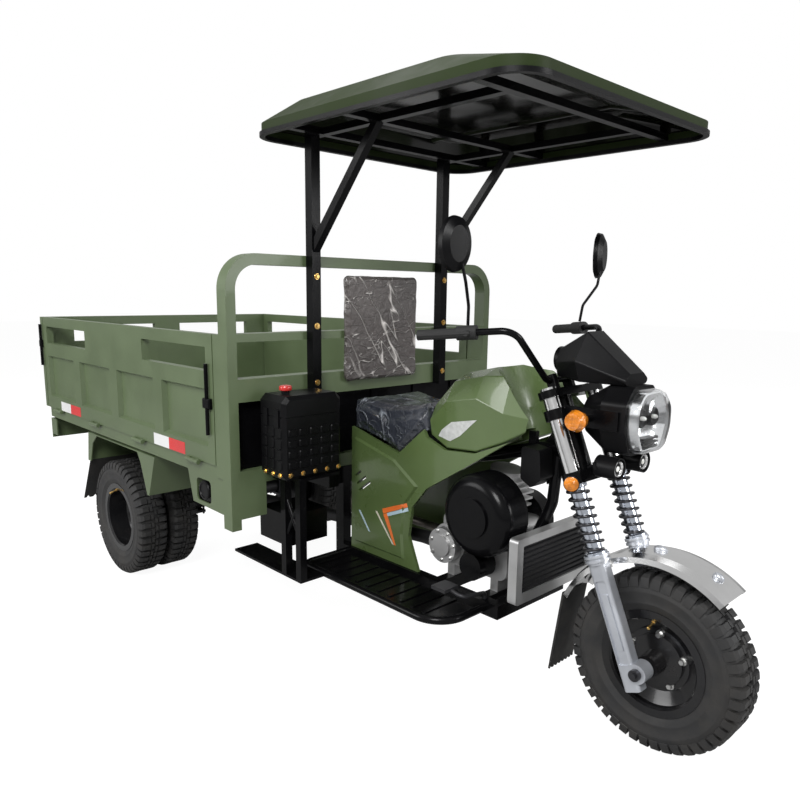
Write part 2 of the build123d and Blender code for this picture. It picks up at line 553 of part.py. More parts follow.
# Headboard hoop with corner posts
HOOP_CORNER = 130.0
PANEL_GAP = (745.0, 1005.0)
HOOP_RAILS = [
    # bottom, top
    (CHASSIS_TOP, PANEL_GAP[0]),
    (PANEL_GAP[1], 1090.0),
    (1225.0, 1255.0),
]
FOOT_PLATE = (112.0, 180.0)
FOOT_PLATE_Y = BED_HALF - 95.0
with BuildPart() as headboard:
    with BuildSketch(Plane.YZ.offset(HOOP_REAR_X)) as hoop_face:
        with Locations((0, (HOOP_BOTTOM + HOOP_TOP) / 2)):
            Rectangle(BED_WIDTH, HOOP_TOP - HOOP_BOTTOM)
        fillet(hoop_face.vertices().group_by(Axis.Y)[-1], radius=HOOP_CORNER)
        with BuildSketch(mode=Mode.SUBTRACT) as opening:
            with Locations((0, (HOOP_BOTTOM + HOOP_TOP - HOOP_TUBE) / 2)):
                Rectangle(BED_WIDTH - 2 * HOOP_TUBE, HOOP_TOP - HOOP_TUBE - HOOP_BOTTOM)
            fillet(opening.vertices().group_by(Axis.Y)[-1], radius=HOOP_CORNER - HOOP_TUBE)
        for low, high in HOOP_RAILS:
            with Locations((0, (low + high) / 2)):
                Rectangle(BED_WIDTH - HOOP_TUBE, high - low)
        with Locations((-FOOT_PLATE_Y, 650), (FOOT_PLATE_Y, 650)):
            Rectangle(*FOOT_PLATE)
    extrude(amount=HOOP_DEPTH)
    for y in ((-BED_HALF, -POST_INNER_Y), (POST_INNER_Y, BED_HALF)):
        block((CORNER_POST_X, HOOP_REAR_X), y, (CORNER_POST_FOOT, PANEL_TOP))
save(headboard, "headboard")

with BuildPart() as headboard_panel:
    half = BED_HALF - HOOP_TUBE
    block((HOOP_REAR_X + 20, HOOP_REAR_X + 30), (-half, half), PANEL_GAP)
    for y in spread(185 - half, half - 185, 5):
        block((HOOP_REAR_X + 12, HOOP_REAR_X + 38), (y - 20, y + 20), PANEL_GAP)
save(headboard_panel, "headboard_panel")

# Rear fenders and rubber flaps
FENDER_Y = (TWIN_INNER_Y - 83.0, BED_HALF - 7.0)
FENDER_SHEET = 5.0
FENDER_TOP = CHASSIS_TOP
FENDER_INNER_TOP = FENDER_TOP - FENDER_SHEET
FLAP_TOP = 540.0
FLAP_LOW = 307.0
FENDER_LINE = [(452, 502), (FENDER_FRONT, FENDER_TOP), (-230, FENDER_TOP), (-255, FLAP_TOP), (-250, FLAP_TOP),
               (-225, FENDER_INNER_TOP), (FENDER_FRONT - 4, FENDER_INNER_TOP), (447, 502)]
FENDER_CHEEKS = [
    [(FENDER_FRONT, FENDER_TOP), (452, 502), (433, 502), (379, 640), (345, FENDER_TOP)],
    [(-230, FENDER_TOP), (-255, FLAP_TOP), (-220, FLAP_TOP), (-180, 640), (-115, FENDER_TOP)],
]
FLAP_LINE = [(-255, FLAP_TOP), (-250, FLAP_TOP), (-376, FLAP_LOW), (-384, FLAP_LOW)]


def by_rear_axle(points):
    """Points given as distance ahead of the rear axle and height."""
    return [(REAR_AXLE_X + ahead, height) for ahead, height in points]


with BuildPart() as rear_fenders:
    top_sheet = outline(Plane.XZ.offset(FENDER_Y[0]), by_rear_axle(FENDER_LINE))
    extrude(top_sheet, amount=FENDER_Y[1] - FENDER_Y[0])
    for cheek in FENDER_CHEEKS:
        cheek_plane = Plane.XZ.offset(FENDER_Y[1] - FENDER_SHEET)
        extrude(outline(cheek_plane, by_rear_axle(cheek)), amount=FENDER_SHEET)
    mirror(about=Plane.XZ)
save(rear_fenders, "rear_fenders")

with BuildPart() as mud_flaps:
    flap_width = FENDER_Y[1] - FENDER_Y[0] - 2 * FENDER_SHEET
    extrude(outline(Plane.XZ.offset(FENDER_Y[0]), by_rear_axle(FLAP_LINE)), amount=flap_width)
    flap_x = (REAR_AXLE_X - 420, REAR_AXLE_X - 340)
    serrate(flap_x, (-FENDER_Y[0] - flap_width, -FENDER_Y[0]), FLAP_LOW, 9, 14)
    mirror(about=Plane.XZ)
save(mud_flaps, "mud_flaps")

# Tail panel and lamps
TAIL_LAMP_SIZE = (110.0, 62.0)
TAIL_LAMP_Y = BED_HALF - 115.0
TAIL_PANEL_HALF = BED_HALF - 7.0
with BuildPart() as tail_panel:
    block(TAIL_PANEL_X, (-TAIL_PANEL_HALF, TAIL_PANEL_HALF), (580, CHASSIS_TOP))
    for y in ((-TAIL_PANEL_HALF, 6 - TAIL_PANEL_HALF), (TAIL_PANEL_HALF - 6, TAIL_PANEL_HALF)):
        block((TAIL_PANEL_X[0], TAIL_PANEL_X[0] + 80), y, (600, CHASSIS_TOP))
save(tail_panel, "tail_panel")

with BuildPart() as tail_lamps:
    for y in (-TAIL_LAMP_Y, TAIL_LAMP_Y):
        with BuildSketch(Plane.YZ.offset(TAIL_PANEL_X[0])):
            with Locations((y, 635)):
                RectangleRounded(*TAIL_LAMP_SIZE, 12)
        extrude(amount=-28, taper=10)
save(tail_lamps, "tail_lamps")

# Canopy: a rim wall with a crown that slopes further at the front
CANOPY_X = (HOOP_FRONT_X - CANOPY_OVERHANG, HOOP_FRONT_X + CANOPY_REACH)
CANOPY_CORNER = 110.0
CROWN_BASE = CANOPY_RIM + 30.0
CROWN_TOP = CANOPY_RIM + 102.0
CROWN_SIDE = 92.0
CROWN_REAR = 92.0
CROWN_FRONT = 260.0
BAR_Z = (CANOPY_RIM + 1, CANOPY_RIM + 24)
LINER = 3.0


def rim_face(height, x, half, corner):
    """Rounded rectangle on a level plane."""
    with BuildSketch(Plane.XY.offset(height)) as face:
        with Locations(((x[0] + x[1]) / 2, 0)):
            RectangleRounded(x[1] - x[0], 2 * half, corner)
    return face.sketch


def canopy_body(inset):
    """Whole canopy volume, drawn in by an inset on every side but the bottom."""
    rim_x = (CANOPY_X[0] + inset, CANOPY_X[1] - inset)
    half = CANOPY_WIDTH / 2 - inset
    corner = CANOPY_CORNER - inset
    crown_x = (rim_x[0] + CROWN_REAR, rim_x[1] - CROWN_FRONT)
    base = CROWN_BASE - inset / 2
    with BuildPart() as body:
        extrude(rim_face(CANOPY_RIM, rim_x, half, corner), amount=base - CANOPY_RIM)
        crown = rim_face(CROWN_TOP - inset, crown_x, half - CROWN_SIDE, corner)
        loft(sections=[rim_face(base, rim_x, half, corner), crown], ruled=True)
    return body.part


with BuildPart() as canopy_roof:
    add(canopy_body(0.0))
    add(canopy_body(CANOPY_SHELL), mode=Mode.SUBTRACT)
save(canopy_roof, "canopy_roof")

with BuildPart() as canopy_liner:
    add(canopy_body(CANOPY_SHELL + SEAT_GAP))
    add(canopy_body(CANOPY_SHELL + SEAT_GAP + LINER), mode=Mode.SUBTRACT)
    half = CANOPY_WIDTH / 2
    block(CANOPY_X, (-half, half), (CANOPY_RIM, BAR_Z[1] + SEAT_GAP), mode=Mode.SUBTRACT)
save(canopy_liner, "canopy_liner")

TRIM_OUT = 8.0
TRIM_IN = 12.0
TRIM_DEPTH = 14.0
with BuildPart() as canopy_trim:
    for grow, mode in ((TRIM_OUT, Mode.ADD), (-TRIM_IN, Mode.SUBTRACT)):
        trim_x = (CANOPY_X[0] - grow, CANOPY_X[1] + grow)
        edge = rim_face(CANOPY_RIM, trim_x, CANOPY_WIDTH / 2 + grow, CANOPY_CORNER + grow)
        extrude(edge, amount=-TRIM_DEPTH, mode=mode)
save(canopy_trim, "canopy_trim")

BRACE_FOOT = (HOOP_FRONT_X + POST_SIZE, 1555.0)
BRACE_HEAD = HOOP_FRONT_X + 417.0
BRACE_WIDTH = 30.0
CANOPY_BAR_X = (HOOP_FRONT_X + 75, BRACE_HEAD - 40, HOOP_FRONT_X + 927)
POST_X = (HOOP_FRONT_X, HOOP_FRONT_X + POST_SIZE)
POST_SPAN = (-POST_Y - POST_SIZE / 2, POST_SIZE / 2 - POST_Y)
CANOPY_INNER_HALF = CANOPY_WIDTH / 2 - CANOPY_SHELL
with BuildPart() as canopy_frame:
    block(POST_X, POST_SPAN, (1000, BAR_Z[1]))
    brace = [BRACE_FOOT, (BRACE_FOOT[0], BRACE_FOOT[1] + 50)]
    brace += [(BRACE_HEAD - 34, BAR_Z[1]), (BRACE_HEAD, BAR_Z[1])]
    extrude(outline(Plane.XZ.offset(POST_Y - BRACE_WIDTH / 2), brace), amount=BRACE_WIDTH)
    side_bar_y = (-POST_Y - BRACE_WIDTH / 2, BRACE_WIDTH / 2 - POST_Y)
    block((POST_X[0], CANOPY_BAR_X[2] + BRACE_WIDTH), side_bar_y, BAR_Z)
    mirror(about=Plane.XZ)
    for x in CANOPY_BAR_X:
        block((x, x + BRACE_WIDTH), (-CANOPY_INNER_HALF, CANOPY_INNER_HALF), BAR_Z)
save(canopy_frame, "canopy_frame")

# Backrest and seat
with BuildPart() as backrest:
    block((HOOP_FRONT_X + SEAT_GAP, HOOP_FRONT_X + 34), (-213, 213), (1035, 1488))
    fillet(backrest.edges().filter_by(Axis.X), radius=30)
    fillet(backrest.faces().sort_by(Axis.X)[-1].edges(), radius=12)
save(backrest, "backrest")

SEAT_LINE = [(1295, 866), (1015, 800), (883, SEAT_NOSE), (SEAT_SETBACK, SEAT_NOSE), (SEAT_SETBACK, 1012),
             (935, 990),
             (1085, 966), (1285, 985)]
with BuildPart() as seat:
    extrude(outline(Plane.XZ.offset(-COVER_Y[1]), cab(SEAT_LINE)), amount=2 * COVER_Y[1])
    fillet(seat.edges().filter_by(Axis.Y).group_by(Axis.Z)[-1], radius=10)
save(seat, "seat")

# Fuel tank: creased flanks, a tunnel over the backbone and a hollow front for the turning fork
TANK_SECTIONS = [
    # distance behind the front axle, then half width and height of foot, crease, shoulder and crown
    (SEAT_SETBACK - SEAT_GAP, (160, 890), (172, 950), (140, 1006), (70, 1032)),
    (775.0, (174, 857), (182, 1030), (140, 1098), (66, 1126)),
    (635.0, (178, 868), (186, 1056), (146, 1132), (70, 1158)),
    (515.0, (178, 920), (188, 1020), (146, 1142), (70, 1168)),
    (416.0, (164, 976), (174, 1012), (130, 1144), (66, 1170)),
]
TANK_CORNER = 9.0
TANK_TUNNEL_HALF = 45.0
with BuildPart() as fuel_tank:
    faces = []
    for distance, *right in TANK_SECTIONS:
        ring = [(-half, height) for half, height in right]
        ring += [(half, height) for half, height in reversed(right)]
        faces.append(outline(Plane.YZ.offset(aft(distance)), ring, TANK_CORNER))
    loft(sections=faces, ruled=True)
    tunnel_y = (-TANK_TUNNEL_HALF, TANK_TUNNEL_HALF)
    block((aft(SEAT_SETBACK + 60), aft(350)), tunnel_y, (800, TANK_TUNNEL + SEAT_GAP), mode=Mode.SUBTRACT)
    with BuildSketch(STEER.offset(600)):
        Circle(TANK_SWING_RADIUS)
    extrude(amount=500, mode=Mode.SUBTRACT)
save(fuel_tank, "fuel_tank")

# Side covers with a raised field and vents
COVER_EDGE = [(485, 928), (685, 800), (863, 690), (938, 600), (955, 480), (899, CRADLE_Z[1]),
              (1299, CRADLE_Z[1]),
              (1295, 866), (1015, 800), (883, SEAT_NOSE), (867, 886), (775, 853), (635, 864), (515, 915)]
COVER_FIELD = [(1273, 380), (975, 380), (987, 480), (969, 606), (905, 690), (1035, 772), (1273, 828)]
FIELD_RISE = 8.0
COVER_VENTS = [
    # distance behind the front axle, height, length
    (1273, 676, 50),
    (1262, 652, 72),
    (1249, 630, 86),
]
VENT_WIDTH = 10.0
VENT_TILT = 36.0
with BuildPart() as side_covers:
    extrude(outline(Plane.XZ.offset(COVER_Y[0]), cab(COVER_EDGE)), amount=COVER_Y[1] - COVER_Y[0])
    extrude(outline(Plane.XZ.offset(COVER_Y[1]), cab(COVER_FIELD)), amount=FIELD_RISE, taper=45)
    for distance, height, length in COVER_VENTS:
        with BuildSketch(Plane.XZ.offset(COVER_Y[0])):
            with Locations((aft(distance - length / 2), height)):
                SlotOverall(length, VENT_WIDTH, rotation=VENT_TILT)
        extrude(amount=COVER_Y[1] - COVER_Y[0] + FIELD_RISE, mode=Mode.SUBTRACT)
    mirror(about=Plane.XZ)
save(side_covers, "side_covers")

# Footboards: plate inside a bent tube
FOOTBOARD_PLATE = 8.0
EDGE_RADIUS = 14.0
FOOTBOARD_AFT = (1330.0, 545.0)
EDGE_Y = FOOTBOARD_OUTER_Y - EDGE_RADIUS
EDGE_X = (aft(FOOTBOARD_AFT[0]) + EDGE_RADIUS, aft(FOOTBOARD_AFT[1]) - EDGE_RADIUS)
EDGE_BEND = 110.0
with BuildPart() as footboards:
    edge_z = FOOTBOARD_TOP - FOOTBOARD_PLATE / 2
    bend = [math.radians(angle) for angle in (0, 30, 60, 90)]
    middle = (EDGE_X[1] - EDGE_BEND, EDGE_Y - EDGE_BEND)
    curve = [(middle[0] + EDGE_BEND * math.sin(t), middle[1] + EDGE_BEND * math.cos(t)) for t in bend]
    plate = [(EDGE_X[0], CRADLE_Y[1]), (EDGE_X[0], EDGE_Y), *curve, (EDGE_X[1], CRADLE_Y[1])]
    extrude(outline(Plane.XY.offset(FOOTBOARD_TOP - FOOTBOARD_PLATE), plate), amount=FOOTBOARD_PLATE)
    edge = [(EDGE_X[0], CRADLE_Y[1], edge_z), (EDGE_X[0], EDGE_Y, edge_z), (EDGE_X[1], EDGE_Y, edge_z),
            (EDGE_X[1], CRADLE_Y[1], edge_z)]
    add(tube_run(edge, EDGE_RADIUS, [40, EDGE_BEND]))
    for distance in range(1270, 620, -60):
        slat_y = (CRADLE_Y[1] + 30, EDGE_Y - 30)
        block((aft(distance), aft(distance) + 14), slat_y, (FOOTBOARD_TOP - 2, FOOTBOARD_TOP + 4))
    mirror(about=Plane.XZ)
save(footboards, "footboards")

# Tool box on its stand
TOOLBOX_Z = (730.0, 1040.0)
TOOLBOX_Y = (-FOOTBOARD_OUTER_Y - 183.0, 83.0 - FOOTBOARD_OUTER_Y)
TOOLBOX_X = (aft(1300), aft(1155))
LID_Z = 962.0
with BuildPart() as toolbox:
    block(TOOLBOX_X, TOOLBOX_Y, TOOLBOX_Z)
    chamfer(toolbox.edges().filter_by(Axis.X), length=22)
    chamfer(toolbox.faces().sort_by(Axis.X)[-1].edges(), length=14)
    seam = (TOOLBOX_X[0] + 3, TOOLBOX_X[1] - 3), (TOOLBOX_Y[0] + 3, TOOLBOX_Y[1] - 3)
    with BuildSketch(Plane.XY.offset(LID_Z)):
        with Locations(((TOOLBOX_X[0] + TOOLBOX_X[1]) / 2, (TOOLBOX_Y[0] + TOOLBOX_Y[1]) / 2)):
            Rectangle(TOOLBOX_X[1] - TOOLBOX_X[0], TOOLBOX_Y[1] - TOOLBOX_Y[0])
            Rectangle(seam[0][1] - seam[0][0], seam[1][1] - seam[1][0], mode=Mode.SUBTRACT)
    extrude(amount=4, mode=Mode.SUBTRACT)
    for rear, front in ((1275, 1250), (1205, 1180)):
        block((aft(rear), aft(front)), (TOOLBOX_Y[0] - 6, TOOLBOX_Y[0] + 6), (LID_Z - 34, LID_Z + 30))
    rod((aft(1230), -555, TOOLBOX_Z[1] - 4), (aft(1230), -555, TOOLBOX_Z[1] + 26), 15)
save(toolbox, "toolbox")

STAND_Y = (-FOOTBOARD_OUTER_Y - 110.0, -FOOTBOARD_OUTER_Y)
STAND_LEG = 30.0
STAND_LEGS_AFT = (1290.0, 1195.0)
with BuildPart() as toolbox_stand:
    block((aft(1640), aft(1165)), STAND_Y, (FOOTBOARD_TOP - 10, FOOTBOARD_TOP))
    for distance in STAND_LEGS_AFT:
        leg_x = (aft(distance), aft(distance) + STAND_LEG)
        block(leg_x, (STAND_Y[0], STAND_Y[0] + STAND_LEG), (FOOTBOARD_TOP - 2, TOOLBOX_Z[0]))
    block((aft(1290), aft(1165)), (STAND_Y[0], STAND_Y[1] + 80), (TOOLBOX_Z[0] - 14, TOOLBOX_Z[0]))
    brace_y = STAND_Y[0] + STAND_LEG / 2
    rod((aft(1275), brace_y, 480), (aft(1180), brace_y, 640), 9)
    rod((aft(1180), brace_y, 480), (aft(1275), brace_y, 640), 9)
    block((aft(1475), aft(1280)), (STAND_Y[0] + 25, STAND_Y[1] + 105), (430, 555))
    block((HOOP_FRONT_X, aft(1285)), (STAND_Y[0], STAND_Y[1] - 15), (TOOLBOX_Z[0] - 30, TOOLBOX_Z[0]))
save(toolbox_stand, "toolbox_stand")

# Engine
CYLINDER_FOOT = Vector(aft(665), 0, 580)
CYLINDER_HEAD = Vector(aft(630), 0, 785)
CYLINDER_RADIUS = 62.0
FIN_HEIGHTS = (640, 665, 690, 715, 740)
FIN_THICKNESS = 8.0
FIN_HALF = 78.0
CLUTCH = (aft(775), 493.0)
with BuildPart() as engine:
    block((aft(845), aft(535)), (-ENGINE_HALF, ENGINE_HALF), (395, 600))
    fillet(engine.edges().filter_by(Axis.Y), radius=40)
    for distance in (817, 607):
        block((aft(distance), aft(distance) + 34), (-ENGINE_HALF, ENGINE_HALF), (CRADLE_Z[1], 420))
    rod(CYLINDER_FOOT, CYLINDER_HEAD, CYLINDER_RADIUS)
    for height in FIN_HEIGHTS:
        middle = CYLINDER_FOOT + (CYLINDER_HEAD - CYLINDER_FOOT) * ((height - 580) / 205)
        fin_x = (middle.X - FIN_HALF, middle.X + FIN_HALF)
        block(fin_x, (-FIN_HALF - 4, FIN_HALF + 4), (height, height + FIN_THICKNESS))
    rod(SHAFT_FRONT + SHAFT_AXIS * 30, SHAFT_FRONT - SHAFT_AXIS * 40, 42)
    for reach, radius in ((150, 76), (188, 66), (197, 40)):
        rod((CLUTCH[0], -ENGINE_HALF, CLUTCH[1]), (CLUTCH[0], -reach, CLUTCH[1]), radius)
save(engine, "engine")

DOME_CENTRE = (aft(600), 650.0)
with BuildPart() as engine_covers:
    rod((DOME_CENTRE[0], -ENGINE_HALF, DOME_CENTRE[1]), (DOME_CENTRE[0], -232, DOME_CENTRE[1]), 148)
    fillet(engine_covers.faces().sort_by(Axis.Y)[0].edges(), radius=45)
    rod((DOME_CENTRE[0], -230, DOME_CENTRE[1]), (DOME_CENTRE[0], -240, DOME_CENTRE[1]), 70)
    rod((aft(635), -ENGINE_HALF, 450), (aft(635), -190, 450), 50)
    rod((aft(635), ENGINE_HALF, 570), (aft(635), 165, 570), 105)
    rod(CYLINDER_FOOT, CYLINDER_HEAD, CYLINDER_RADIUS + SEAT_GAP, mode=Mode.SUBTRACT)
save(engine_covers, "engine_covers")

# Radiator, its shroud and the covers beside the steering neck
RADIATOR_X = (aft(RADIATOR_AFT[0]), aft(RADIATOR_AFT[1]))
RADIATOR_Z = (390.0, 620.0)
RADIATOR_HALF = 228.0
CORE_HALF = 195.0
CORE_Z = (425.0, 592.0)
with BuildPart() as radiator:
    block(RADIATOR_X, (-RADIATOR_HALF, RADIATOR_HALF), RADIATOR_Z)
    fillet(radiator.edges().filter_by(Axis.X), radius=14)
    core_x = (RADIATOR_X[0] - 5, RADIATOR_X[1] + 5)
    block(core_x, (-CORE_HALF, CORE_HALF), CORE_Z, mode=Mode.SUBTRACT)
save(radiator, "radiator")

with BuildPart() as radiator_core:
    block((RADIATOR_X[0], RADIATOR_X[1] - 6), (-CORE_HALF, CORE_HALF), CORE_Z)
    for z in spread(CORE_Z[0] + 12, CORE_Z[1] - 12, 9):
        groove_x = (RADIATOR_X[1] - 12, RADIATOR_X[1])
        block(groove_x, (-CORE_HALF, CORE_HALF), (z - 4, z + 4), mode=Mode.SUBTRACT)
save(radiator_core, "radiator_core")

with BuildPart() as fan_shroud:
    block((RADIATOR_X[0] - 17, RADIATOR_X[0]), (-200, 200), (402, 610))
    block((RADIATOR_X[0] - 20, RADIATOR_X[0]), (-32, 32), (478, 612), mode=Mode.SUBTRACT)
save(fan_shroud, "fan_shroud")

NECK_COVER = [(495, 905), (420, 898), (412, 800), (450, 765), (495, 790)]
with BuildPart() as neck_covers:
    extrude(outline(Plane.XZ.offset(32), cab(NECK_COVER), 14), amount=72)
    block((aft(463), aft(443)), (-34, -GUSSET_HALF), (830, 860))
    mirror(about=Plane.XZ)
save(neck_covers, "neck_covers")

# Exhaust
PIPE_RADIUS = 18.0
PIPE = [(535, 75, 500), (490, 75, 500), (490, 120, 405), (605, 135, 405), (1355, 135, 405)]
MUFFLER_RADIUS = 48.0
MUFFLER_AFT = (1695.0, 1395.0)
with BuildPart() as exhaust:
    add(tube_run([(aft(d), y, z) for d, y, z in PIPE], PIPE_RADIUS, [25, 40, 60]))
    rod((aft(1355), 135, 405), (aft(1400), 135, 405), PIPE_RADIUS)
    rod((aft(MUFFLER_AFT[0]), 135, 405), (aft(MUFFLER_AFT[1]), 135, 405), MUFFLER_RADIUS)
    fillet(exhaust.faces().sort_by(Axis.X)[0].edges(), radius=20)
    rod((aft(MUFFLER_AFT[0] + 90), 150, 405), (aft(MUFFLER_AFT[0] - 10), 150, 405), 14)
    block((UPRIGHT_X[0] - 30, UPRIGHT_X[0] + 15), (125, 145), (440, CHASSIS_Z[0] + 10))
save(exhaust, "exhaust")

# Foot controls
PEDAL_AFT = 635.0
with BuildPart() as foot_controls:
    lever = [(aft(570), -180, CRADLE_Z[1]), (aft(570), -180, 372)]
    lever += [(aft(570), -300, 390), (aft(PEDAL_AFT), -300, 400)]
    add(tube_run(lever, 7, [12, 20]))
    block((aft(PEDAL_AFT + 50), aft(PEDAL_AFT - 15)), (-335, -265), (396, 408))
    mirror(about=Plane.XZ)
save(foot_controls, "foot_controls")

# Fork: clamps, stem and handlebar risers
BAR = STEER.from_local_coords((15, 0, 945))
BAR_RADIUS = 11.0
RISER_Y = 45.0
LEG_SPOTS = ((LEG_OFFSET, LEG_SPREAD), (LEG_OFFSET, -LEG_SPREAD))
with BuildPart() as fork_clamps:
    for low, high in (LOWER_CLAMP, UPPER_CLAMP):
        with BuildSketch(STEER.offset(low)):
            with Locations((LEG_OFFSET, 0)):
                SlotCenterToCenter(2 * LEG_SPREAD, 2 * CLAMP_HALF_WIDTH, rotation=90)
            Circle(42)
            with Locations(*LEG_SPOTS):
                Circle(TUBE_RADIUS + SEAT_GAP, mode=Mode.SUBTRACT)
        extrude(amount=high - low)
    with BuildSketch(STEER.offset(LOWER_CLAMP[0])):
        Circle(STEM_RADIUS - RUN_CLEARANCE)
    extrude(amount=UPPER_CLAMP[1] - LOWER_CLAMP[0])
    with BuildSketch(STEER.offset(UPPER_CLAMP[1] - 2)):
        with Locations((15, RISER_Y), (15, -RISER_Y)):
            RectangleRounded(36, 26, 6)
    extrude(amount=60)
    rod((BAR.X, -80, BAR.Z), (BAR.X, 80, BAR.Z), BAR_RADIUS + SEAT_GAP, mode=Mode.SUBTRACT)
save(fork_clamps, "fork_clamps")

TUBE_STEPS = [
    # bottom, top, radius
    (LEG_TOP - 30, LOWER_CLAMP[0] + 5, STAY_RADIUS),
    (LOWER_CLAMP[0], UPPER_CLAMP[1] + 8, TUBE_RADIUS),
]
with BuildPart() as fork_tubes:
    for low, high, radius in TUBE_STEPS:
        with BuildSketch(STEER.offset(low)):
            with Locations(*LEG_SPOTS):
                Circle(radius)
        extrude(amount=high - low)
save(fork_tubes, "fork_tubes")

# Coil springs round the stays, wound in short straight lengths
SPRING_TURNS = 7
SPRING_SIDES = 12
WIRE_RADIUS = 5.0
COIL_RADIUS = 31.0
SPRING_Z = (LEG_TOP + WIRE_RADIUS + 1, LOWER_CLAMP[0] - WIRE_RADIUS - 1)


def coil(centre):
    """Six-sided wire wound round a line along the steering axis."""
    steps = SPRING_TURNS * SPRING_SIDES
    faces = []
    for step in range(steps + 1):
        turn = 2 * math.pi * step / SPRING_SIDES
        out = STEER.x_dir * math.cos(turn) + STEER.y_dir * math.sin(turn)
        along = STEER.y_dir * math.cos(turn) - STEER.x_dir * math.sin(turn)
        height = SPRING_Z[0] + (SPRING_Z[1] - SPRING_Z[0]) * step / steps
        spot = STEER.from_local_coords((centre[0], centre[1], height)) + out * COIL_RADIUS
        with BuildSketch(Plane(origin=spot, x_dir=out, z_dir=along)) as wire:
            RegularPolygon(WIRE_RADIUS, 6)
        faces.append(wire.sketch)
    with BuildPart() as wound:
        loft(sections=faces, ruled=True)
    return wound.part


with BuildPart() as fork_springs:
    for spot in LEG_SPOTS:
        add(coil(spot))
        for low, high in ((LEG_TOP + SEAT_GAP, SPRING_Z[0] + 2), (SPRING_Z[1] - 2, LOWER_CLAMP[0] - SEAT_GAP)):
            with BuildSketch(STEER.offset(low)):
                with Locations(spot):
                    RegularPolygon(COIL_RADIUS + WIRE_RADIUS, 16, major_radius=False)
                    RegularPolygon(COIL_RADIUS - WIRE_RADIUS, 16, mode=Mode.SUBTRACT)
            extrude(amount=high - low)
save(fork_springs, "fork_springs")

# Lower legs: ribbed collars, a channel down the outer face and a plain plate in it
LEG_BOTTOM = -55.0
LEG_SECTION = (56.0, 50.0)
LEG_COLLARS = [
    # bottom, top and radius, heights below the leg's top
    (30.0, 22.0, 34.0),
    (22.0, 14.0, 40.0),
    (14.0, 8.0, 35.0),
    (8.0, 0.0, 40.0),
]
CHANNEL = (36.0, 262.0)
CHANNEL_DEPTH = 6.0
PLATE = (22.0, 176.0)
PLATE_RISE = 3.0
CHANNEL_MIDDLE = 158.0
BOSS_Y = (LEG_SPREAD - LEG_SECTION[1] / 2, LEG_SPREAD + LEG_SECTION[1] / 2)
with BuildPart() as fork_legs:
    with BuildSketch(STEER.offset(LEG_BOTTOM)):
        with Locations((LEG_OFFSET, -LEG_SPREAD)):
            RectangleRounded(*LEG_SECTION, 12)
    extrude(amount=LEG_TOP - LEG_COLLARS[0][0] - LEG_BOTTOM)
    for below, above, radius in LEG_COLLARS:
        with BuildSketch(STEER.offset(LEG_TOP - below)):
            with Locations((LEG_OFFSET, -LEG_SPREAD)):
                Circle(radius)
        extrude(amount=below - above)
    with BuildSketch(STEER_SIDE.offset(BOSS_Y[1])):
        with Locations((LEG_OFFSET, CHANNEL_MIDDLE)):
            RectangleRounded(*CHANNEL, 8)
    extrude(amount=-CHANNEL_DEPTH, mode=Mode.SUBTRACT)
    with BuildSketch(STEER_SIDE.offset(BOSS_Y[1] - CHANNEL_DEPTH)):
        with Locations((LEG_OFFSET, CHANNEL_MIDDLE)):
            RectangleRounded(*PLATE, 4)
    extrude(amount=PLATE_RISE)
    rod(FRONT_AXLE - Vector(0, BOSS_Y[0], 0), FRONT_AXLE - Vector(0, BOSS_Y[1], 0), 31)
    with BuildSketch(STEER.offset(LEG_TOP - 34)):
        with Locations((LEG_OFFSET, -LEG_SPREAD)):
            Circle(STAY_RADIUS + SEAT_GAP)
    extrude(amount=40, mode=Mode.SUBTRACT)
    bore_end = FRONT_AXLE - Vector(0, BOSS_Y[1] + 40, 0)
    rod(FRONT_AXLE - Vector(0, 60, 0), bore_end, FRONT_AXLE_RADIUS + SEAT_GAP, mode=Mode.SUBTRACT)
    mirror(about=Plane.XZ)
save(fork_legs, "fork_legs")

AXLE_COLLARS = [
    # inner end, outer end, radius
    (FRONT_HUB_END + 0.5, BOSS_Y[0] - SEAT_GAP, 17.0),
    (BOSS_Y[1] + SEAT_GAP, BOSS_Y[1] + 15.0, 18.0),
]
with BuildPart() as front_axle:
    axle_end = Vector(0, BOSS_Y[1] + 22, 0)
    rod(FRONT_AXLE - axle_end, FRONT_AXLE + axle_end, FRONT_AXLE_RADIUS)
    for side in (-1, 1):
        for inner, outer, radius in AXLE_COLLARS:
            rod(FRONT_AXLE + Vector(0, side * inner, 0), FRONT_AXLE + Vector(0, side * outer, 0), radius)
save(front_axle, "front_axle")

# Front mudguard and its flap
GUARD_START = 52.0
GUARD_SWEEP = 105.0
GUARD_STAY = (316.0, 338.0)
GUARD_HALF_OUTLINE = [(325, 82), (342, 78), (350, 50), (352, 0)]
GUARD_HALF_INSIDE = [(325, 79), (340, 75), (347, 48), (349, 0)]
GUARD_OUTLINE = (GUARD_HALF_OUTLINE + [(r, -w) for r, w in reversed(GUARD_HALF_OUTLINE[:3])]
                 + [(r, -w) for r, w in GUARD_HALF_INSIDE] + list(reversed(GUARD_HALF_INSIDE[:3])))


def around_axle(angle):
    """Plane holding the front axle, turned up from straight ahead: local x is the radius."""
    turn = math.radians(angle)
    ahead = (math.cos(turn), 0, math.sin(turn))
    return Plane(origin=FRONT_AXLE, x_dir=ahead, z_dir=(-math.sin(turn), 0, math.cos(turn)))


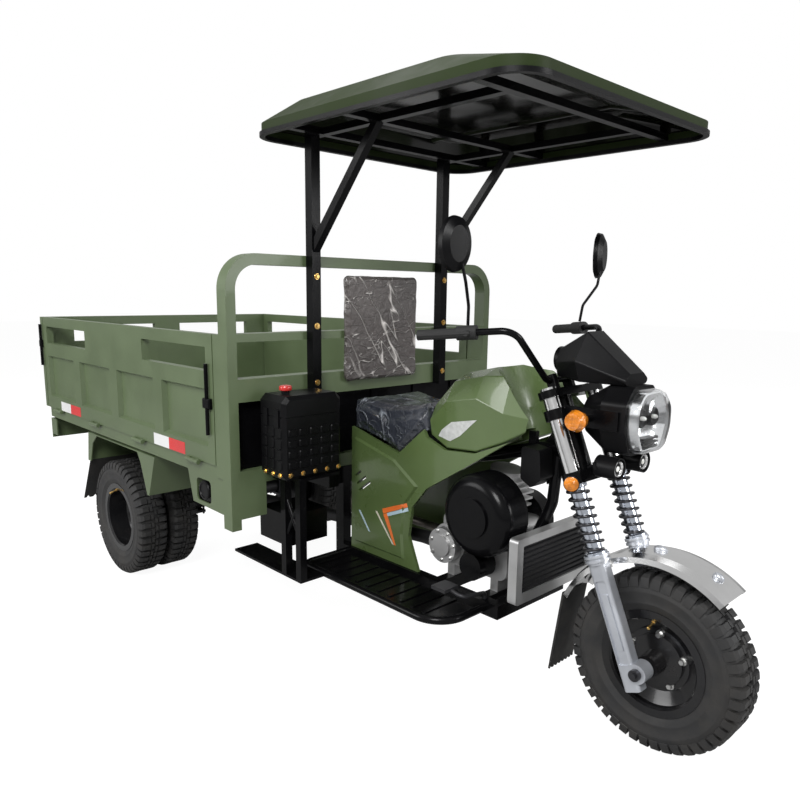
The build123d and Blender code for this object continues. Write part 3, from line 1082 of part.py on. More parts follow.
with BuildPart() as front_mudguard:
    upward_turn = Axis(FRONT_AXLE, (0, -1, 0))
    revolve(outline(around_axle(GUARD_START), GUARD_OUTLINE), axis=upward_turn, revolution_arc=GUARD_SWEEP)
    stay = [(LEG_OFFSET - 15, GUARD_STAY[0]), (LEG_OFFSET + 15, GUARD_STAY[0]),
            (LEG_OFFSET + 15, GUARD_STAY[1]), (LEG_OFFSET - 15, GUARD_STAY[1])]
    for start, deep in ((80, BOSS_Y[0] - 80), (-80, 80 - BOSS_Y[0])):
        extrude(outline(STEER_SIDE.offset(start), stay), amount=deep)
save(front_mudguard, "front_mudguard")

# Flap hung from the rear end of the guard, given from the front axle
FRONT_FLAP = [(-316, 134), (-324, 137), (-364, -158), (-358, -159)]
FRONT_FLAP_HALF = 72.0
with BuildPart() as front_mudflap:
    flap = [(FRONT_AXLE_X + ahead, AXLE_HEIGHT + height) for ahead, height in FRONT_FLAP]
    extrude(outline(Plane.XZ.offset(-FRONT_FLAP_HALF), flap), amount=2 * FRONT_FLAP_HALF)
    serrate((aft(400), aft(320)), (-FRONT_FLAP_HALF, FRONT_FLAP_HALF), AXLE_HEIGHT - 158, 7, 16)
save(front_mudflap, "front_mudflap")

# Headlight with its bracket
LAMP_X = (aft(294), aft(205), aft(120), aft(58))
LAMP_Z = AXLE_HEIGHT + 747.0
LAMP_HALF = 103.0
LAMP_TOP = 107.0
LAMP_EDGE = [(58, LAMP_TOP), (LAMP_HALF, 56), (LAMP_HALF, -28), (64, -LAMP_TOP)]
LAMP_CORNER = 26.0


def lamp_face(x, share):
    """Lamp outline on a plane across the vehicle, drawn smaller by a share."""
    left = [(half * share, LAMP_Z + height * share) for half, height in LAMP_EDGE]
    right = [(-y, z) for y, z in reversed(left)]
    return outline(Plane.YZ.offset(x), left + right, LAMP_CORNER * share)


with BuildPart() as headlight_shell:
    loft(sections=[lamp_face(LAMP_X[0], 0.54), lamp_face(LAMP_X[1], 1.0)], ruled=True)
    extrude(lamp_face(LAMP_X[1], 1.0), amount=LAMP_X[2] - LAMP_X[1])
save(headlight_shell, "headlight_shell")

with BuildPart() as headlight_lens:
    stations = ((LAMP_X[2], 0.95), (LAMP_X[2] + 30, 0.9), (LAMP_X[3], 0.64))
    loft(sections=[lamp_face(x, share) for x, share in stations], ruled=True)
save(headlight_lens, "headlight_lens")

RING = (808.0, 842.0)
RING_RADIUS = TUBE_RADIUS + 9.0
EAR_Z = (LAMP_Z - 27, LAMP_Z + 33)
EAR_PLATE = 7.0
SIGNAL_X = aft(235)
SIGNAL_Z = LAMP_Z + 3
SIGNAL_ROOT = 158.0
SIGNAL_LENGTH = 52.0
with BuildPart() as headlight_bracket:
    with BuildSketch(STEER.offset(RING[0])):
        with Locations((LEG_OFFSET, -LEG_SPREAD)):
            Circle(RING_RADIUS)
    extrude(amount=RING[1] - RING[0])
    block((aft(327), LAMP_X[2] - 20), (-LAMP_HALF - EAR_PLATE, -LAMP_HALF), EAR_Z)
    with BuildSketch(STEER.offset(RING[0] - 60)):
        with Locations((LEG_OFFSET, -LEG_SPREAD)):
            Circle(TUBE_RADIUS + SEAT_GAP)
    extrude(amount=RING[1] - RING[0] + 120, mode=Mode.SUBTRACT)
    rod((SIGNAL_X, -LAMP_HALF - 3, SIGNAL_Z), (SIGNAL_X, -SIGNAL_ROOT, SIGNAL_Z), 11)
    mirror(about=Plane.XZ)
save(headlight_bracket, "headlight_bracket")

with BuildPart() as turn_signals:
    for reach, radius in ((0.0, 24.0), (30.0, 34.0), (SIGNAL_LENGTH, 26.0)):
        with BuildSketch(Plane.XZ.offset(SIGNAL_ROOT + reach)):
            with Locations((SIGNAL_X, SIGNAL_Z)):
                Circle(radius)
    loft(ruled=True)
    mirror(about=Plane.XZ)
save(turn_signals, "turn_signals")

# Instrument cowl over the headlight
COWL_FOOT = LAMP_Z + LAMP_TOP + SEAT_GAP
COWL_SECTIONS = [
    # distance behind the front axle, then half width and height of foot, crease and top
    (407.0, (44, COWL_FOOT + 6), (58, COWL_FOOT + 52), (34, COWL_FOOT + 98)),
    (300.0, (84, COWL_FOOT), (113, COWL_FOOT + 66), (48, COWL_FOOT + 158)),
    (147.0, (56, COWL_FOOT), (74, COWL_FOOT + 13), (42, COWL_FOOT + 36)),
]
COWL_CORNER = 9.0
DIAL_Z = COWL_FOOT + 60.0
with BuildPart() as instrument_cowl:
    faces = []
    for distance, *right in COWL_SECTIONS:
        ring = [(-half, height) for half, height in right]
        ring += [(half, height) for half, height in reversed(right)]
        faces.append(outline(Plane.YZ.offset(aft(distance)), ring, COWL_CORNER))
    loft(sections=faces, ruled=True)
    rod((aft(427), 0, DIAL_Z), (aft(395), 0, DIAL_Z), 42)
save(instrument_cowl, "instrument_cowl")

# Spot lamps on a bar over the lower clamp
SPOT_Y = 78.0
SPOT_Z = AXLE_HEIGHT + 599.0
SPOT_AFT = (213.0, 139.0)
SPOT_RADIUS = 35.0
SPOT_WALL = 4.0
with BuildPart() as spot_lamps:
    with BuildSketch(STEER.offset(LOWER_CLAMP[1])):
        with Locations((86, 0)):
            Rectangle(76, 80)
    extrude(amount=6)
    with BuildSketch(STEER.offset(LOWER_CLAMP[1] - 12)):
        with Locations((123, 0)):
            Rectangle(10, 230)
    extrude(amount=26)
    for y in (-SPOT_Y, SPOT_Y):
        rod((aft(SPOT_AFT[0]), y, SPOT_Z), (aft(SPOT_AFT[1]), y, SPOT_Z), SPOT_RADIUS)
        mouth = (aft(SPOT_AFT[1] + 12), y, SPOT_Z)
        rod(mouth, (aft(SPOT_AFT[1]), y, SPOT_Z), SPOT_RADIUS - SPOT_WALL, mode=Mode.SUBTRACT)
save(spot_lamps, "spot_lamps")

# Handlebar, grips and mirrors
BAR_BEND = Vector(aft(430), -255, AXLE_HEIGHT + 1015)
BAR_END = Vector(aft(710), -385, AXLE_HEIGHT + 990)
BAR_MIDDLE_Y = 75.0
with BuildPart() as handlebar:
    right_half = [BAR_END, BAR_BEND, Vector(BAR.X, -BAR_MIDDLE_Y, BAR.Z)]
    left_half = [Vector(p.X, -p.Y, p.Z) for p in reversed(right_half)]
    add(tube_run(right_half + left_half, BAR_RADIUS, [60, 45, 45, 60]))
save(handlebar, "handlebar")

GRIP_AXIS = (BAR_BEND - BAR_END).normalized()
LEVER_SIDE = Vector(GRIP_AXIS.Y, -GRIP_AXIS.X, 0).normalized()
GRIP_LENGTH = 126.0
SWITCH_LENGTH = 64.0
with BuildPart() as grips:
    rod(BAR_END - GRIP_AXIS * 8, BAR_END + GRIP_AXIS * GRIP_LENGTH, 17)
    rod(BAR_END + GRIP_AXIS * GRIP_LENGTH, BAR_END + GRIP_AXIS * (GRIP_LENGTH + SWITCH_LENGTH), 23)
    perch = BAR_END + GRIP_AXIS * (GRIP_LENGTH + 39)
    rod(perch, perch + LEVER_SIDE * 46, 9)
    rod(perch + GRIP_AXIS * 11 + LEVER_SIDE * 42, BAR_END + GRIP_AXIS * 10 + LEVER_SIDE * 58, 5)
    rod(BAR_END, BAR_END + GRIP_AXIS * 230, BAR_RADIUS + SEAT_GAP, mode=Mode.SUBTRACT)
    mirror(about=Plane.XZ)
save(grips, "grips")

MIRROR_CENTRE = Vector(aft(550), -402, AXLE_HEIGHT + 1271)
MIRROR_FACE = Vector(-1, 0.28, 0.0).normalized()
MIRROR_SHELL = [
    # distance behind the glass, half height, half width
    (0.0, 84.0, 56.0),
    (16.0, 80.0, 52.0),
    (30.0, 54.0, 32.0),
]
STEM_FOOT = BAR_END + GRIP_AXIS * (GRIP_LENGTH + 34) + Vector(0, 0, 24)
with BuildPart() as mirrors:
    stem = [STEM_FOOT, STEM_FOOT + Vector(6, -6, 60), MIRROR_CENTRE + Vector(18, 30, -110),
            MIRROR_CENTRE - MIRROR_FACE * 14]
    add(tube_run(stem, 5, [30, 40]))
    for depth, tall, wide in MIRROR_SHELL:
        spot = MIRROR_CENTRE - MIRROR_FACE * (depth - 8)
        with BuildSketch(Plane(origin=spot, x_dir=(0, 0, 1), z_dir=MIRROR_FACE)):
            Ellipse(tall, wide)
    loft(ruled=True)
    mirror(about=Plane.XZ)
save(mirrors, "mirrors")
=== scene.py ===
import json
import math

import bmesh
import bpy
from mathutils import Matrix, Vector, noise
from mathutils.bvhtree import BVHTree


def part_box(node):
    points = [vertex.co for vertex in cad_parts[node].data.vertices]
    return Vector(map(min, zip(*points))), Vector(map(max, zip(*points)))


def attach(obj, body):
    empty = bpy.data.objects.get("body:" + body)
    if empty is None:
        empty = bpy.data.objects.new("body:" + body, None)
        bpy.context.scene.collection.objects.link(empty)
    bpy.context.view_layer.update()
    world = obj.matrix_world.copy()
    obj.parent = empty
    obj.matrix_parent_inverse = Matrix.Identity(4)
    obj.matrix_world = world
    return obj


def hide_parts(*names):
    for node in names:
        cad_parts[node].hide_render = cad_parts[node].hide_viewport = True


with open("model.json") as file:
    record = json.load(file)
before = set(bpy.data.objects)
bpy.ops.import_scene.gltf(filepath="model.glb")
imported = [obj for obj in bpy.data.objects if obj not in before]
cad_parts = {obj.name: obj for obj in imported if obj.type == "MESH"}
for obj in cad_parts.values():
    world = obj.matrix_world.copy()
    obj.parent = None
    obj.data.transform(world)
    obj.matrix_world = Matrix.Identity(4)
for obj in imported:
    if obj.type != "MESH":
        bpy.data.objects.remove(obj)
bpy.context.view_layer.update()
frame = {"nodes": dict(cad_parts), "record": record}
NODES = frame["nodes"]

bl_info = {
    "name": "Cargo tricycle looks",
    "version": (1, 0, 0),
    "blender": (4, 5, 0),
    "location": "View3D > Sidebar > Tricycle",
    "description": "Finishes, soft pads, tread, lamps and small trim for a cargo tricycle",
    "category": "Object",
}

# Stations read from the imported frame, in metres
FRONT_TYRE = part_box("front_tyre")
TYRE_RADIUS = (FRONT_TYRE[1][2] - FRONT_TYRE[0][2]) / 2
FRONT_AXLE = Vector(((FRONT_TYRE[0][0] + FRONT_TYRE[1][0]) / 2, 0.0, FRONT_TYRE[0][2] + TYRE_RADIUS))
RIGHT_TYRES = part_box("rear_tyres_right")
REAR_AXLE = Vector(((RIGHT_TYRES[0][0] + RIGHT_TYRES[1][0]) / 2, 0.0, FRONT_AXLE.z))
TYRE_WIDTH = FRONT_TYRE[1][1] - FRONT_TYRE[0][1]
TWIN_OUTER = -RIGHT_TYRES[0][1] - TYRE_WIDTH / 2
TWIN_INNER = -RIGHT_TYRES[1][1] + TYRE_WIDTH / 2
RAKE = math.radians(23.0)
AHEAD = Vector((math.cos(RAKE), 0.0, math.sin(RAKE)))
ALONG = Vector((-math.sin(RAKE), 0.0, math.cos(RAKE)))
FORK_LEAD = 0.077
FORK_FOOT = FRONT_AXLE - AHEAD * FORK_LEAD
LEG_AHEAD = 0.045
LEG_SPREAD = 0.125


def fork_point(ahead, left, up):
    """Place given from the steering axis: ahead, to the left, and up along it."""
    return FORK_FOOT + AHEAD * ahead + Vector((0.0, left, 0.0)) + ALONG * up


class TRICYCLE_PG_colours(bpy.types.PropertyGroup):
    """Colours that a user would change"""

    body: bpy.props.FloatVectorProperty(
        name="Body green", description="Paint of tank, covers and canopy", subtype="COLOR", size=3,
        min=0.0, max=1.0, default=(0.080, 0.122, 0.040))
    bed: bpy.props.FloatVectorProperty(
        name="Bed green", description="Paint of the load bed and fenders", subtype="COLOR", size=3,
        min=0.0, max=1.0, default=(0.088, 0.122, 0.058))
    stripe: bpy.props.FloatVectorProperty(
        name="Stripe", description="Main stripe on the side covers", subtype="COLOR", size=3,
        min=0.0, max=1.0, default=(0.75, 0.16, 0.03))
    pale_stripe: bpy.props.FloatVectorProperty(
        name="Pale stripe", description="Thin strokes beside the main stripe", subtype="COLOR", size=3,
        min=0.0, max=1.0, default=(0.62, 0.58, 0.48))
    cool_stripe: bpy.props.FloatVectorProperty(
        name="Cool stripe", description="Short stroke on the side covers", subtype="COLOR", size=3,
        min=0.0, max=1.0, default=(0.42, 0.55, 0.62))
    tape_red: bpy.props.FloatVectorProperty(
        name="Tape red", description="Red half of the reflective tape", subtype="COLOR", size=3,
        min=0.0, max=1.0, default=(0.60, 0.02, 0.02))
    tape_white: bpy.props.FloatVectorProperty(
        name="Tape white", description="White half of the reflective tape", subtype="COLOR", size=3,
        min=0.0, max=1.0, default=(0.75, 0.75, 0.75))
    brass: bpy.props.FloatVectorProperty(
        name="Brass", description="Plated bolts and valves", subtype="COLOR", size=3,
        min=0.0, max=1.0, default=(0.70, 0.46, 0.16))


class TRICYCLE_PG_sizes(bpy.types.PropertyGroup):
    """Sizes that a user would change"""

    lug_count: bpy.props.IntProperty(
        name="Shoulder lugs", description="Lugs on each shoulder of a tyre", default=46, min=12, max=90)
    lug_length: bpy.props.FloatProperty(
        name="Lug length", description="Length of a lug round the tyre", default=0.024, unit="LENGTH")
    spring_turns: bpy.props.FloatProperty(
        name="Spring turns", description="Turns of each fork spring", default=7.5, min=2.0)
    spring_wire: bpy.props.FloatProperty(
        name="Spring wire", description="Radius of the spring wire", default=0.0048, unit="LENGTH")
    pad_swell: bpy.props.FloatProperty(
        name="Pad swell", description="Most that a point of a pad may move", default=0.009, unit="LENGTH")
    wrinkle: bpy.props.FloatProperty(
        name="Film wrinkle", description="Height of the wrinkles in the film on the pads", default=0.0050,
        unit="LENGTH")
    fin_count: bpy.props.IntProperty(
        name="Radiator fins", description="Fins across the radiator core", default=64, min=8)
    bolt_across: bpy.props.FloatProperty(
        name="Bolt size", description="Radius of the bolt heads on the canopy posts", default=0.0085,
        unit="LENGTH")


# Shader groups shared by the finishes


def node_tree(name, kind, inputs, outputs):
    """Empty node group with named sockets, its input and its output."""
    tree = bpy.data.node_groups.new(name, kind)
    for in_out, sockets in (("INPUT", inputs), ("OUTPUT", outputs)):
        for label, socket_type, default in sockets:
            socket = tree.interface.new_socket(
                name=label, in_out=in_out, socket_type="NodeSocket" + socket_type)
            if default is not None:
                socket.default_value = default
    return tree, tree.nodes.new("NodeGroupInput"), tree.nodes.new("NodeGroupOutput")


def add_node(tree, kind, links=None, **settings):
    """Node with settings, and with sockets linked or set by name or number."""
    made = tree.nodes.new(kind)
    for key, value in settings.items():
        setattr(made, key, value)
    for key, value in (links or {}).items():
        socket = made.inputs[key]
        if isinstance(value, bpy.types.NodeSocket):
            tree.links.new(value, socket)
        else:
            socket.default_value = value
    return made


def maths(tree, operation, *values, **settings):
    """Value worked out from other values."""
    links = dict(enumerate(values))
    return add_node(tree, "ShaderNodeMath", links, operation=operation, **settings).outputs[0]


def ranged(tree, value, low, high, to_low=0.0, to_high=1.0, **settings):
    """Value moved from one range to another."""
    return add_node(tree, "ShaderNodeMapRange", {
        "Value": value, "From Min": low, "From Max": high, "To Min": to_low, "To Max": to_high},
        **settings).outputs[0]


def clouds(tree, vector, scale, detail=2.0, roughness=0.5):
    """Soft noise over a surface."""
    return add_node(tree, "ShaderNodeTexNoise", {
        "Vector": vector, "Scale": scale, "Detail": detail, "Roughness": roughness})


def mixed(tree, share, first, second):
    """Colour between two colours."""
    return add_node(tree, "ShaderNodeMix", {0: share, 6: first, 7: second}, data_type="RGBA").outputs[2]


def mixed_value(tree, share, first, second):
    """Value between two values."""
    return add_node(tree, "ShaderNodeMix", {0: share, 2: first, 3: second}, data_type="FLOAT").outputs[0]


def cell_edges(tree, vector, scale):
    """Distance to the nearest edge of a field of cells."""
    return add_node(tree, "ShaderNodeTexVoronoi", {"Vector": vector, "Scale": scale},
                    feature="DISTANCE_TO_EDGE").outputs[0]


def tone_group():
    """Slow change of tone over a surface, from 0 to 1."""
    tree, given, result = node_tree(
        "tone_shift", "ShaderNodeTree",
        [("Vector", "Vector", None), ("Scale", "Float", 5.0)], [("Tone", "Float", None)])
    field = clouds(tree, given.outputs["Vector"], given.outputs["Scale"], 4.0, 0.6)
    spread = ranged(tree, field.outputs[0], 0.3, 0.7, interpolation_type="SMOOTHSTEP")
    tree.links.new(spread, result.inputs["Tone"])
    return tree


def dust_group():
    """Road dust that thins out with height above the ground."""
    tree, given, result = node_tree(
        "road_dust", "ShaderNodeTree",
        [("Vector", "Vector", None), ("Amount", "Float", 0.2), ("Reach", "Float", 0.9)],
        [("Mask", "Float", None)])
    place = given.outputs["Vector"]
    level = add_node(tree, "ShaderNodeSeparateXYZ", {0: place}).outputs["Z"]
    low = ranged(tree, level, 0.0, given.outputs["Reach"], 1.0, 0.12)
    patches = ranged(tree, clouds(tree, place, 9.0, 7.0, 0.7).outputs[0], 0.42, 0.75)
    both = maths(tree, "MULTIPLY", low, patches)
    mask = maths(tree, "MULTIPLY", both, given.outputs["Amount"], use_clamp=True)
    tree.links.new(mask, result.inputs["Mask"])
    return tree


def grain_group():
    """Fine pebble grain for paint, cast metal, rubber and hide."""
    tree, given, result = node_tree(
        "fine_grain", "ShaderNodeTree",
        [("Vector", "Vector", None), ("Scale", "Float", 200.0), ("Cells", "Float", 0.0)],
        [("Height", "Float", None)])
    place, scale = given.outputs["Vector"], given.outputs["Scale"]
    speck = clouds(tree, place, scale).outputs[0]
    pebble = ranged(tree, cell_edges(tree, place, scale), 0.0, 0.16)
    tree.links.new(mixed_value(tree, given.outputs["Cells"], speck, pebble), result.inputs["Height"])
    return tree


# Film creases: lean, stretch along the crease, relative scale, width and patch scale
CREASES = ((0.547, (1.0, 1.0, 6.0), 1.0, 0.030, 5.0), (0.08, (1.0, 3.0, 0.8), 1.6, 0.022, 8.0))


def crinkle_group():
    """Sharp creases of thin clear film pulled over a pad: long slanting ones and short level ones. Height
    bumps the creases; Glint marks their crests, which film_finish paints pale as a painted highlight.
    """
    tree, given, result = node_tree(
        "film_crinkle", "ShaderNodeTree",
        [("Vector", "Vector", None), ("Scale", "Float", 14.0)],
        [("Height", "Float", None), ("Glint", "Float", None)])
    place = given.outputs["Vector"]
    bend = add_node(tree, "ShaderNodeVectorMath", {
        0: clouds(tree, place, 6.0).outputs["Color"], 1: (0.05, 0.05, 0.05)}, operation="MULTIPLY")
    warped = add_node(tree, "ShaderNodeVectorMath", {0: place, 1: bend.outputs[0]}).outputs[0]
    lines = []
    for turn, stretch, scale, width, patch_scale in CREASES:
        slant = add_node(tree, "ShaderNodeMapping", {
            "Vector": warped, "Rotation": (turn, 0.0, 0.0), "Scale": stretch},
            vector_type="TEXTURE").outputs[0]
        field = clouds(tree, slant, maths(tree, "MULTIPLY", given.outputs["Scale"], scale), 1.5).outputs[0]
        apart = maths(tree, "ABSOLUTE", maths(tree, "SUBTRACT", field, 0.5))
        crest = ranged(tree, apart, 0.0, width, 1.0, 0.0, interpolation_type="SMOOTHSTEP")
        patch = ranged(tree, clouds(tree, slant, patch_scale, 3.0).outputs[0], 0.36, 0.58)
        lines.append(maths(tree, "MULTIPLY", crest, patch))
    glint = maths(tree, "MAXIMUM", *lines)
    crumple = clouds(tree, warped, 34.0, 4.0, 0.6).outputs[0]
    tree.links.new(maths(tree, "MULTIPLY_ADD", crumple, 0.7, glint), result.inputs["Height"])
    tree.links.new(glint, result.inputs["Glint"])
    return tree


GROUPS = {"tone": tone_group(), "dust": dust_group(), "grain": grain_group(), "crinkle": crinkle_group()}
DUST_COLOUR = (0.19, 0.165, 0.13, 1.0)
DUST_ROUGHNESS = 0.9
MADE = {}


def use_group(tree, name, links):
    """Shared group placed in a material."""
    return add_node(tree, "ShaderNodeGroup", links, node_tree=GROUPS[name])


def shade(colour, share):
    """Colour made darker or lighter by a share."""
    return (*[min(1.0, c * share) for c in colour[:3]], 1.0)


def finish(name, colour, rough, metal=0.0, coat=0.0, spread=0.14, tone=4.0, grain=180.0, cells=0.0,
           bump=0.0004, dust=0.0, through=0.0, glow=0.0, spec=0.5):
    """Material with a shifting tone, a fine grain and some road dust."""
    if name in MADE:
        return MADE[name]
    material = bpy.data.materials.new(name)
    material.use_nodes = True
    tree = material.node_tree
    shader = tree.nodes["Principled BSDF"]
    place = tree.nodes.new("ShaderNodeTexCoord").outputs["Object"]
    shift = use_group(tree, "tone", {"Vector": place, "Scale": tone}).outputs["Tone"]
    colour_out = mixed(tree, shift, shade(colour, 1.0 - spread), shade(colour, 1.0 + spread))
    rough_out = ranged(tree, shift, 0.0, 1.0, rough * 0.85, min(1.0, rough * 1.2))
    if dust > 0:
        film = use_group(tree, "dust", {"Vector": place, "Amount": dust}).outputs["Mask"]
        colour_out = mixed(tree, film, colour_out, DUST_COLOUR)
        rough_out = mixed_value(tree, film, rough_out, DUST_ROUGHNESS)
    tree.links.new(colour_out, shader.inputs["Base Color"])
    tree.links.new(rough_out, shader.inputs["Roughness"])
    pebble = use_group(tree, "grain", {"Vector": place, "Scale": grain, "Cells": cells})
    relief = add_node(tree, "ShaderNodeBump", {
        "Height": pebble.outputs["Height"], "Strength": 0.35, "Distance": bump})
    tree.links.new(relief.outputs[0], shader.inputs["Normal"])
    shader.inputs["Metallic"].default_value = metal
    shader.inputs["Coat Weight"].default_value = coat
    shader.inputs["Coat Roughness"].default_value = 0.06
    shader.inputs["Specular IOR Level"].default_value = spec
    shader.inputs["Transmission Weight"].default_value = through
    if glow > 0:
        shader.inputs["Emission Color"].default_value = (*colour[:3], 1.0)
        shader.inputs["Emission Strength"].default_value = glow
    MADE[name] = material
    return material


def film_finish(name, colour, painted_glint_colour, cover, scale):
    """Dark hide under clinging clear film: the creases are bumped, and their crests are painted in a pale
    colour as a painted highlight.
    """
    if name in MADE:
        return MADE[name]
    material = finish(name, colour, 0.30, coat=0.7, grain=420.0, cells=0.8, bump=0.0006)
    tree = material.node_tree
    shader = tree.nodes["Principled BSDF"]
    place = tree.nodes.new("ShaderNodeTexCoord").outputs["Object"]
    folds = use_group(tree, "crinkle", {"Vector": place, "Scale": scale})
    under = shader.inputs["Base Color"].links[0].from_socket
    # Painted highlight: the crease crests take the pale glint colour, at the share given by cover
    mask = maths(tree, "MULTIPLY", folds.outputs["Glint"], cover)
    tree.links.new(mixed(tree, mask, under, (*painted_glint_colour, 1.0)), shader.inputs["Base Color"])
    hide = shader.inputs["Normal"].links[0].from_socket
    crease = add_node(tree, "ShaderNodeBump", {
        "Height": folds.outputs["Height"], "Strength": 1.0, "Distance": 0.012, "Normal": hide})
    tree.links.new(crease.outputs[0], shader.inputs["Normal"])
    return material


def glass_finish(name, colour, rough=0.03):
    """Clear moulded lens with faint flow lines."""
    material = finish(name, colour, rough, through=1.0, spread=0.02, grain=60.0, bump=0.0002)
    material.node_tree.nodes["Principled BSDF"].inputs["IOR"].default_value = 1.45
    return material


# Mesh helpers: every piece keeps its place in its mesh


def placed(name, data):
    """Object in the scene's own collection."""
    obj = bpy.data.objects.new(name, data)
    bpy.context.scene.collection.objects.link(obj)
    return obj


def dress(mesh, material):
    """Gives a mesh one material."""
    mesh.materials.clear()
    mesh.materials.append(material)


def piece(name, mesh, body, *materials):
    """Object from a mesh, at the origin, that moves with a CAD body."""
    obj = placed(name, mesh)
    for material in materials:
        mesh.materials.append(material)
    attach(obj, body)
    return obj


def closed_mesh(name, build, smooth=40.0):
    """Mesh from a function that fills a bmesh, with outward normals."""
    work = bmesh.new()
    build(work)
    bmesh.ops.recalc_face_normals(work, faces=work.faces)
    mesh = bpy.data.meshes.new(name)
    work.to_mesh(mesh)
    work.free()
    mesh.shade_smooth()
    mesh.set_sharp_from_angle(angle=math.radians(smooth))
    return mesh


def built(name, body, build, *materials, smooth=40.0):
    """Piece whose mesh is filled by a function."""
    return piece(name, closed_mesh(name, build, smooth), body, *materials)


def rounded(half_u, half_v, power, count, start=0.0):
    """Outline between an ellipse and a rectangle, as (u, v) pairs."""
    outline = []
    for k in range(count):
        angle = 2 * math.pi * (k + start) / count
        c, s = math.cos(angle), math.sin(angle)
        outline.append((math.copysign(abs(c) ** power, c) * half_u,
                        math.copysign(abs(s) ** power, s) * half_v))
    return outline


def oblong(half_u, half_v):
    """Corners of a rectangle about its middle, as (u, v) pairs."""
    return [(u * half_u, v * half_v) for u, v in ((-1, -1), (1, -1), (1, 1), (-1, 1))]


def bridge(work, rings, close=True, slot=0):
    """Walls between rings of points, with both ends capped."""
    rows = [[work.verts.new(p) for p in ring] for ring in rings]
    count = len(rows[0])
    for low, high in zip(rows, rows[1:]):
        for i in range(count):
            face = work.faces.new((low[i], low[(i + 1) % count], high[(i + 1) % count], high[i]))
            face.material_index = slot
    if close:
        work.faces.new(rows[0][::-1]).material_index = slot
        work.faces.new(rows[-1]).material_index = slot


def circle(sides):
    """Cosine and sine of evenly spaced angles."""
    return [(math.cos(a), math.sin(a)) for a in (2 * math.pi * i / sides for i in range(sides))]


def turned(work, centre, axis, profile, sides=32, slot=0):
    """Lathe work: (radius, distance along the axis) pairs turned round a centre."""
    turn = Vector((0, 0, 1)).rotation_difference(Vector(axis)).to_matrix()
    bridge(work, [[centre + turn @ Vector((radius * c, radius * s, along)) for c, s in circle(sides)]
                  for radius, along in profile], slot=slot)


def hoop(work, centre, section, sides=96):
    """Closed ring about the wheel axis: (radius, sideways) section points."""
    rings = [[centre + Vector((radius * c, side, radius * s)) for c, s in circle(sides)]
             for radius, side in section]
    bridge(work, rings + rings[:1], close=False)
    bmesh.ops.remove_doubles(work, verts=work.verts, dist=1e-6)


def slab(work, points, direction, depth, edge=0.0, slot=0):
    """Flat outline pushed along a direction, its far edge drawn in by a small chamfer."""
    push = Vector(direction).normalized()
    middle = sum((Vector(p) for p in points), Vector()) / len(points)
    near = [Vector(p) for p in points]
    rings = [near, [p + push * (depth - edge) for p in near]]
    if edge > 0:
        rings.append([p + push * depth + (middle - p).normalized() * edge for p in near])
    bridge(work, rings, slot=slot)


def bolt_mesh(name, radius, height, sides=6):
    """Hexagon head on a washer, standing on its own z = 0."""
    def build(work):
        turned(work, Vector(), (0, 0, 1), [(radius * 1.45, -0.001), (radius * 1.45, height * 0.22),
                                          (radius * 1.35, height * 0.3)], 14)
        turned(work, Vector(), (0, 0, 1), [(radius, height * 0.2), (radius, height * 0.85),
                                          (radius * 0.82, height)], sides)
    return closed_mesh(name, build, 25.0)


# Geometry node trees for what repeats or follows a path


def close_tree(tree, given, result, source, *steps, joined=True):
    """Ends a tree: the last steps, real geometry, its material, and the incoming mesh beside it."""
    real = add_node(tree, "GeometryNodeRealizeInstances")
    paint = add_node(tree, "GeometryNodeSetMaterial", {"Material": given.outputs["Material"]})
    for step in (*steps, real, paint):
        tree.links.new(source, step.inputs["Geometry"] if "Geometry" in step.inputs else step.inputs[0])
        source = step.outputs[0]
    if joined:
        both = add_node(tree, "GeometryNodeJoinGeometry")
        tree.links.new(source, both.inputs[0])
        tree.links.new(given.outputs["Geometry"], both.inputs[0])
        source = both.outputs[0]
    tree.links.new(source, result.inputs[0])
    return tree


def ring_tree():
    """Blocks standing round a wheel axle, joined to the incoming mesh."""
    tree, given, result = node_tree(
        "blocks_round_axle", "GeometryNodeTree",
        [("Geometry", "Geometry", None), ("Block", "Object", None), ("Count", "Int", 40),
         ("Radius", "Float", 0.1), ("Phase", "Float", 0.0), ("Centre", "Vector", None),
         ("Material", "Material", None)],
        [("Geometry", "Geometry", None)])
    points = add_node(tree, "GeometryNodeMeshCircle", {
        "Vertices": given.outputs["Count"], "Radius": given.outputs["Radius"]})
    block = add_node(tree, "GeometryNodeObjectInfo", {"Object": given.outputs["Block"]})
    step = maths(tree, "DIVIDE", 2 * math.pi, given.outputs["Count"])
    angle = maths(tree, "MULTIPLY", add_node(tree, "GeometryNodeInputIndex").outputs[0], step)
    turn = add_node(tree, "ShaderNodeCombineXYZ", {"Z": angle})
    stand = add_node(tree, "GeometryNodeInstanceOnPoints", {
        "Points": points.outputs[0], "Instance": block.outputs["Geometry"], "Rotation": turn.outputs[0]})
    phase = add_node(tree, "ShaderNodeCombineXYZ", {"Z": given.outputs["Phase"]})
    spin = add_node(tree, "GeometryNodeTransform", {"Rotation": phase.outputs[0]})
    place = add_node(tree, "GeometryNodeTransform", {
        "Translation": given.outputs["Centre"], "Rotation": (math.pi / 2, 0.0, 0.0)})
    return close_tree(tree, given, result, stand.outputs[0], spin, place)


def row_tree():
    """A small part set on every point of the incoming mesh."""
    tree, given, result = node_tree(
        "parts_on_points", "GeometryNodeTree",
        [("Geometry", "Geometry", None), ("Part", "Object", None), ("Turn", "Vector", None),
         ("Size", "Float", 1.0), ("Material", "Material", None)],
        [("Geometry", "Geometry", None)])
    part = add_node(tree, "GeometryNodeObjectInfo", {"Object": given.outputs["Part"]})
    size = add_node(tree, "ShaderNodeCombineXYZ", {axis: given.outputs["Size"] for axis in "XYZ"})
    stand = add_node(tree, "GeometryNodeInstanceOnPoints", {
        "Points": given.outputs["Geometry"], "Instance": part.outputs["Geometry"],
        "Rotation": given.outputs["Turn"], "Scale": size.outputs[0]})
    return close_tree(tree, given, result, stand.outputs[0], joined=False)


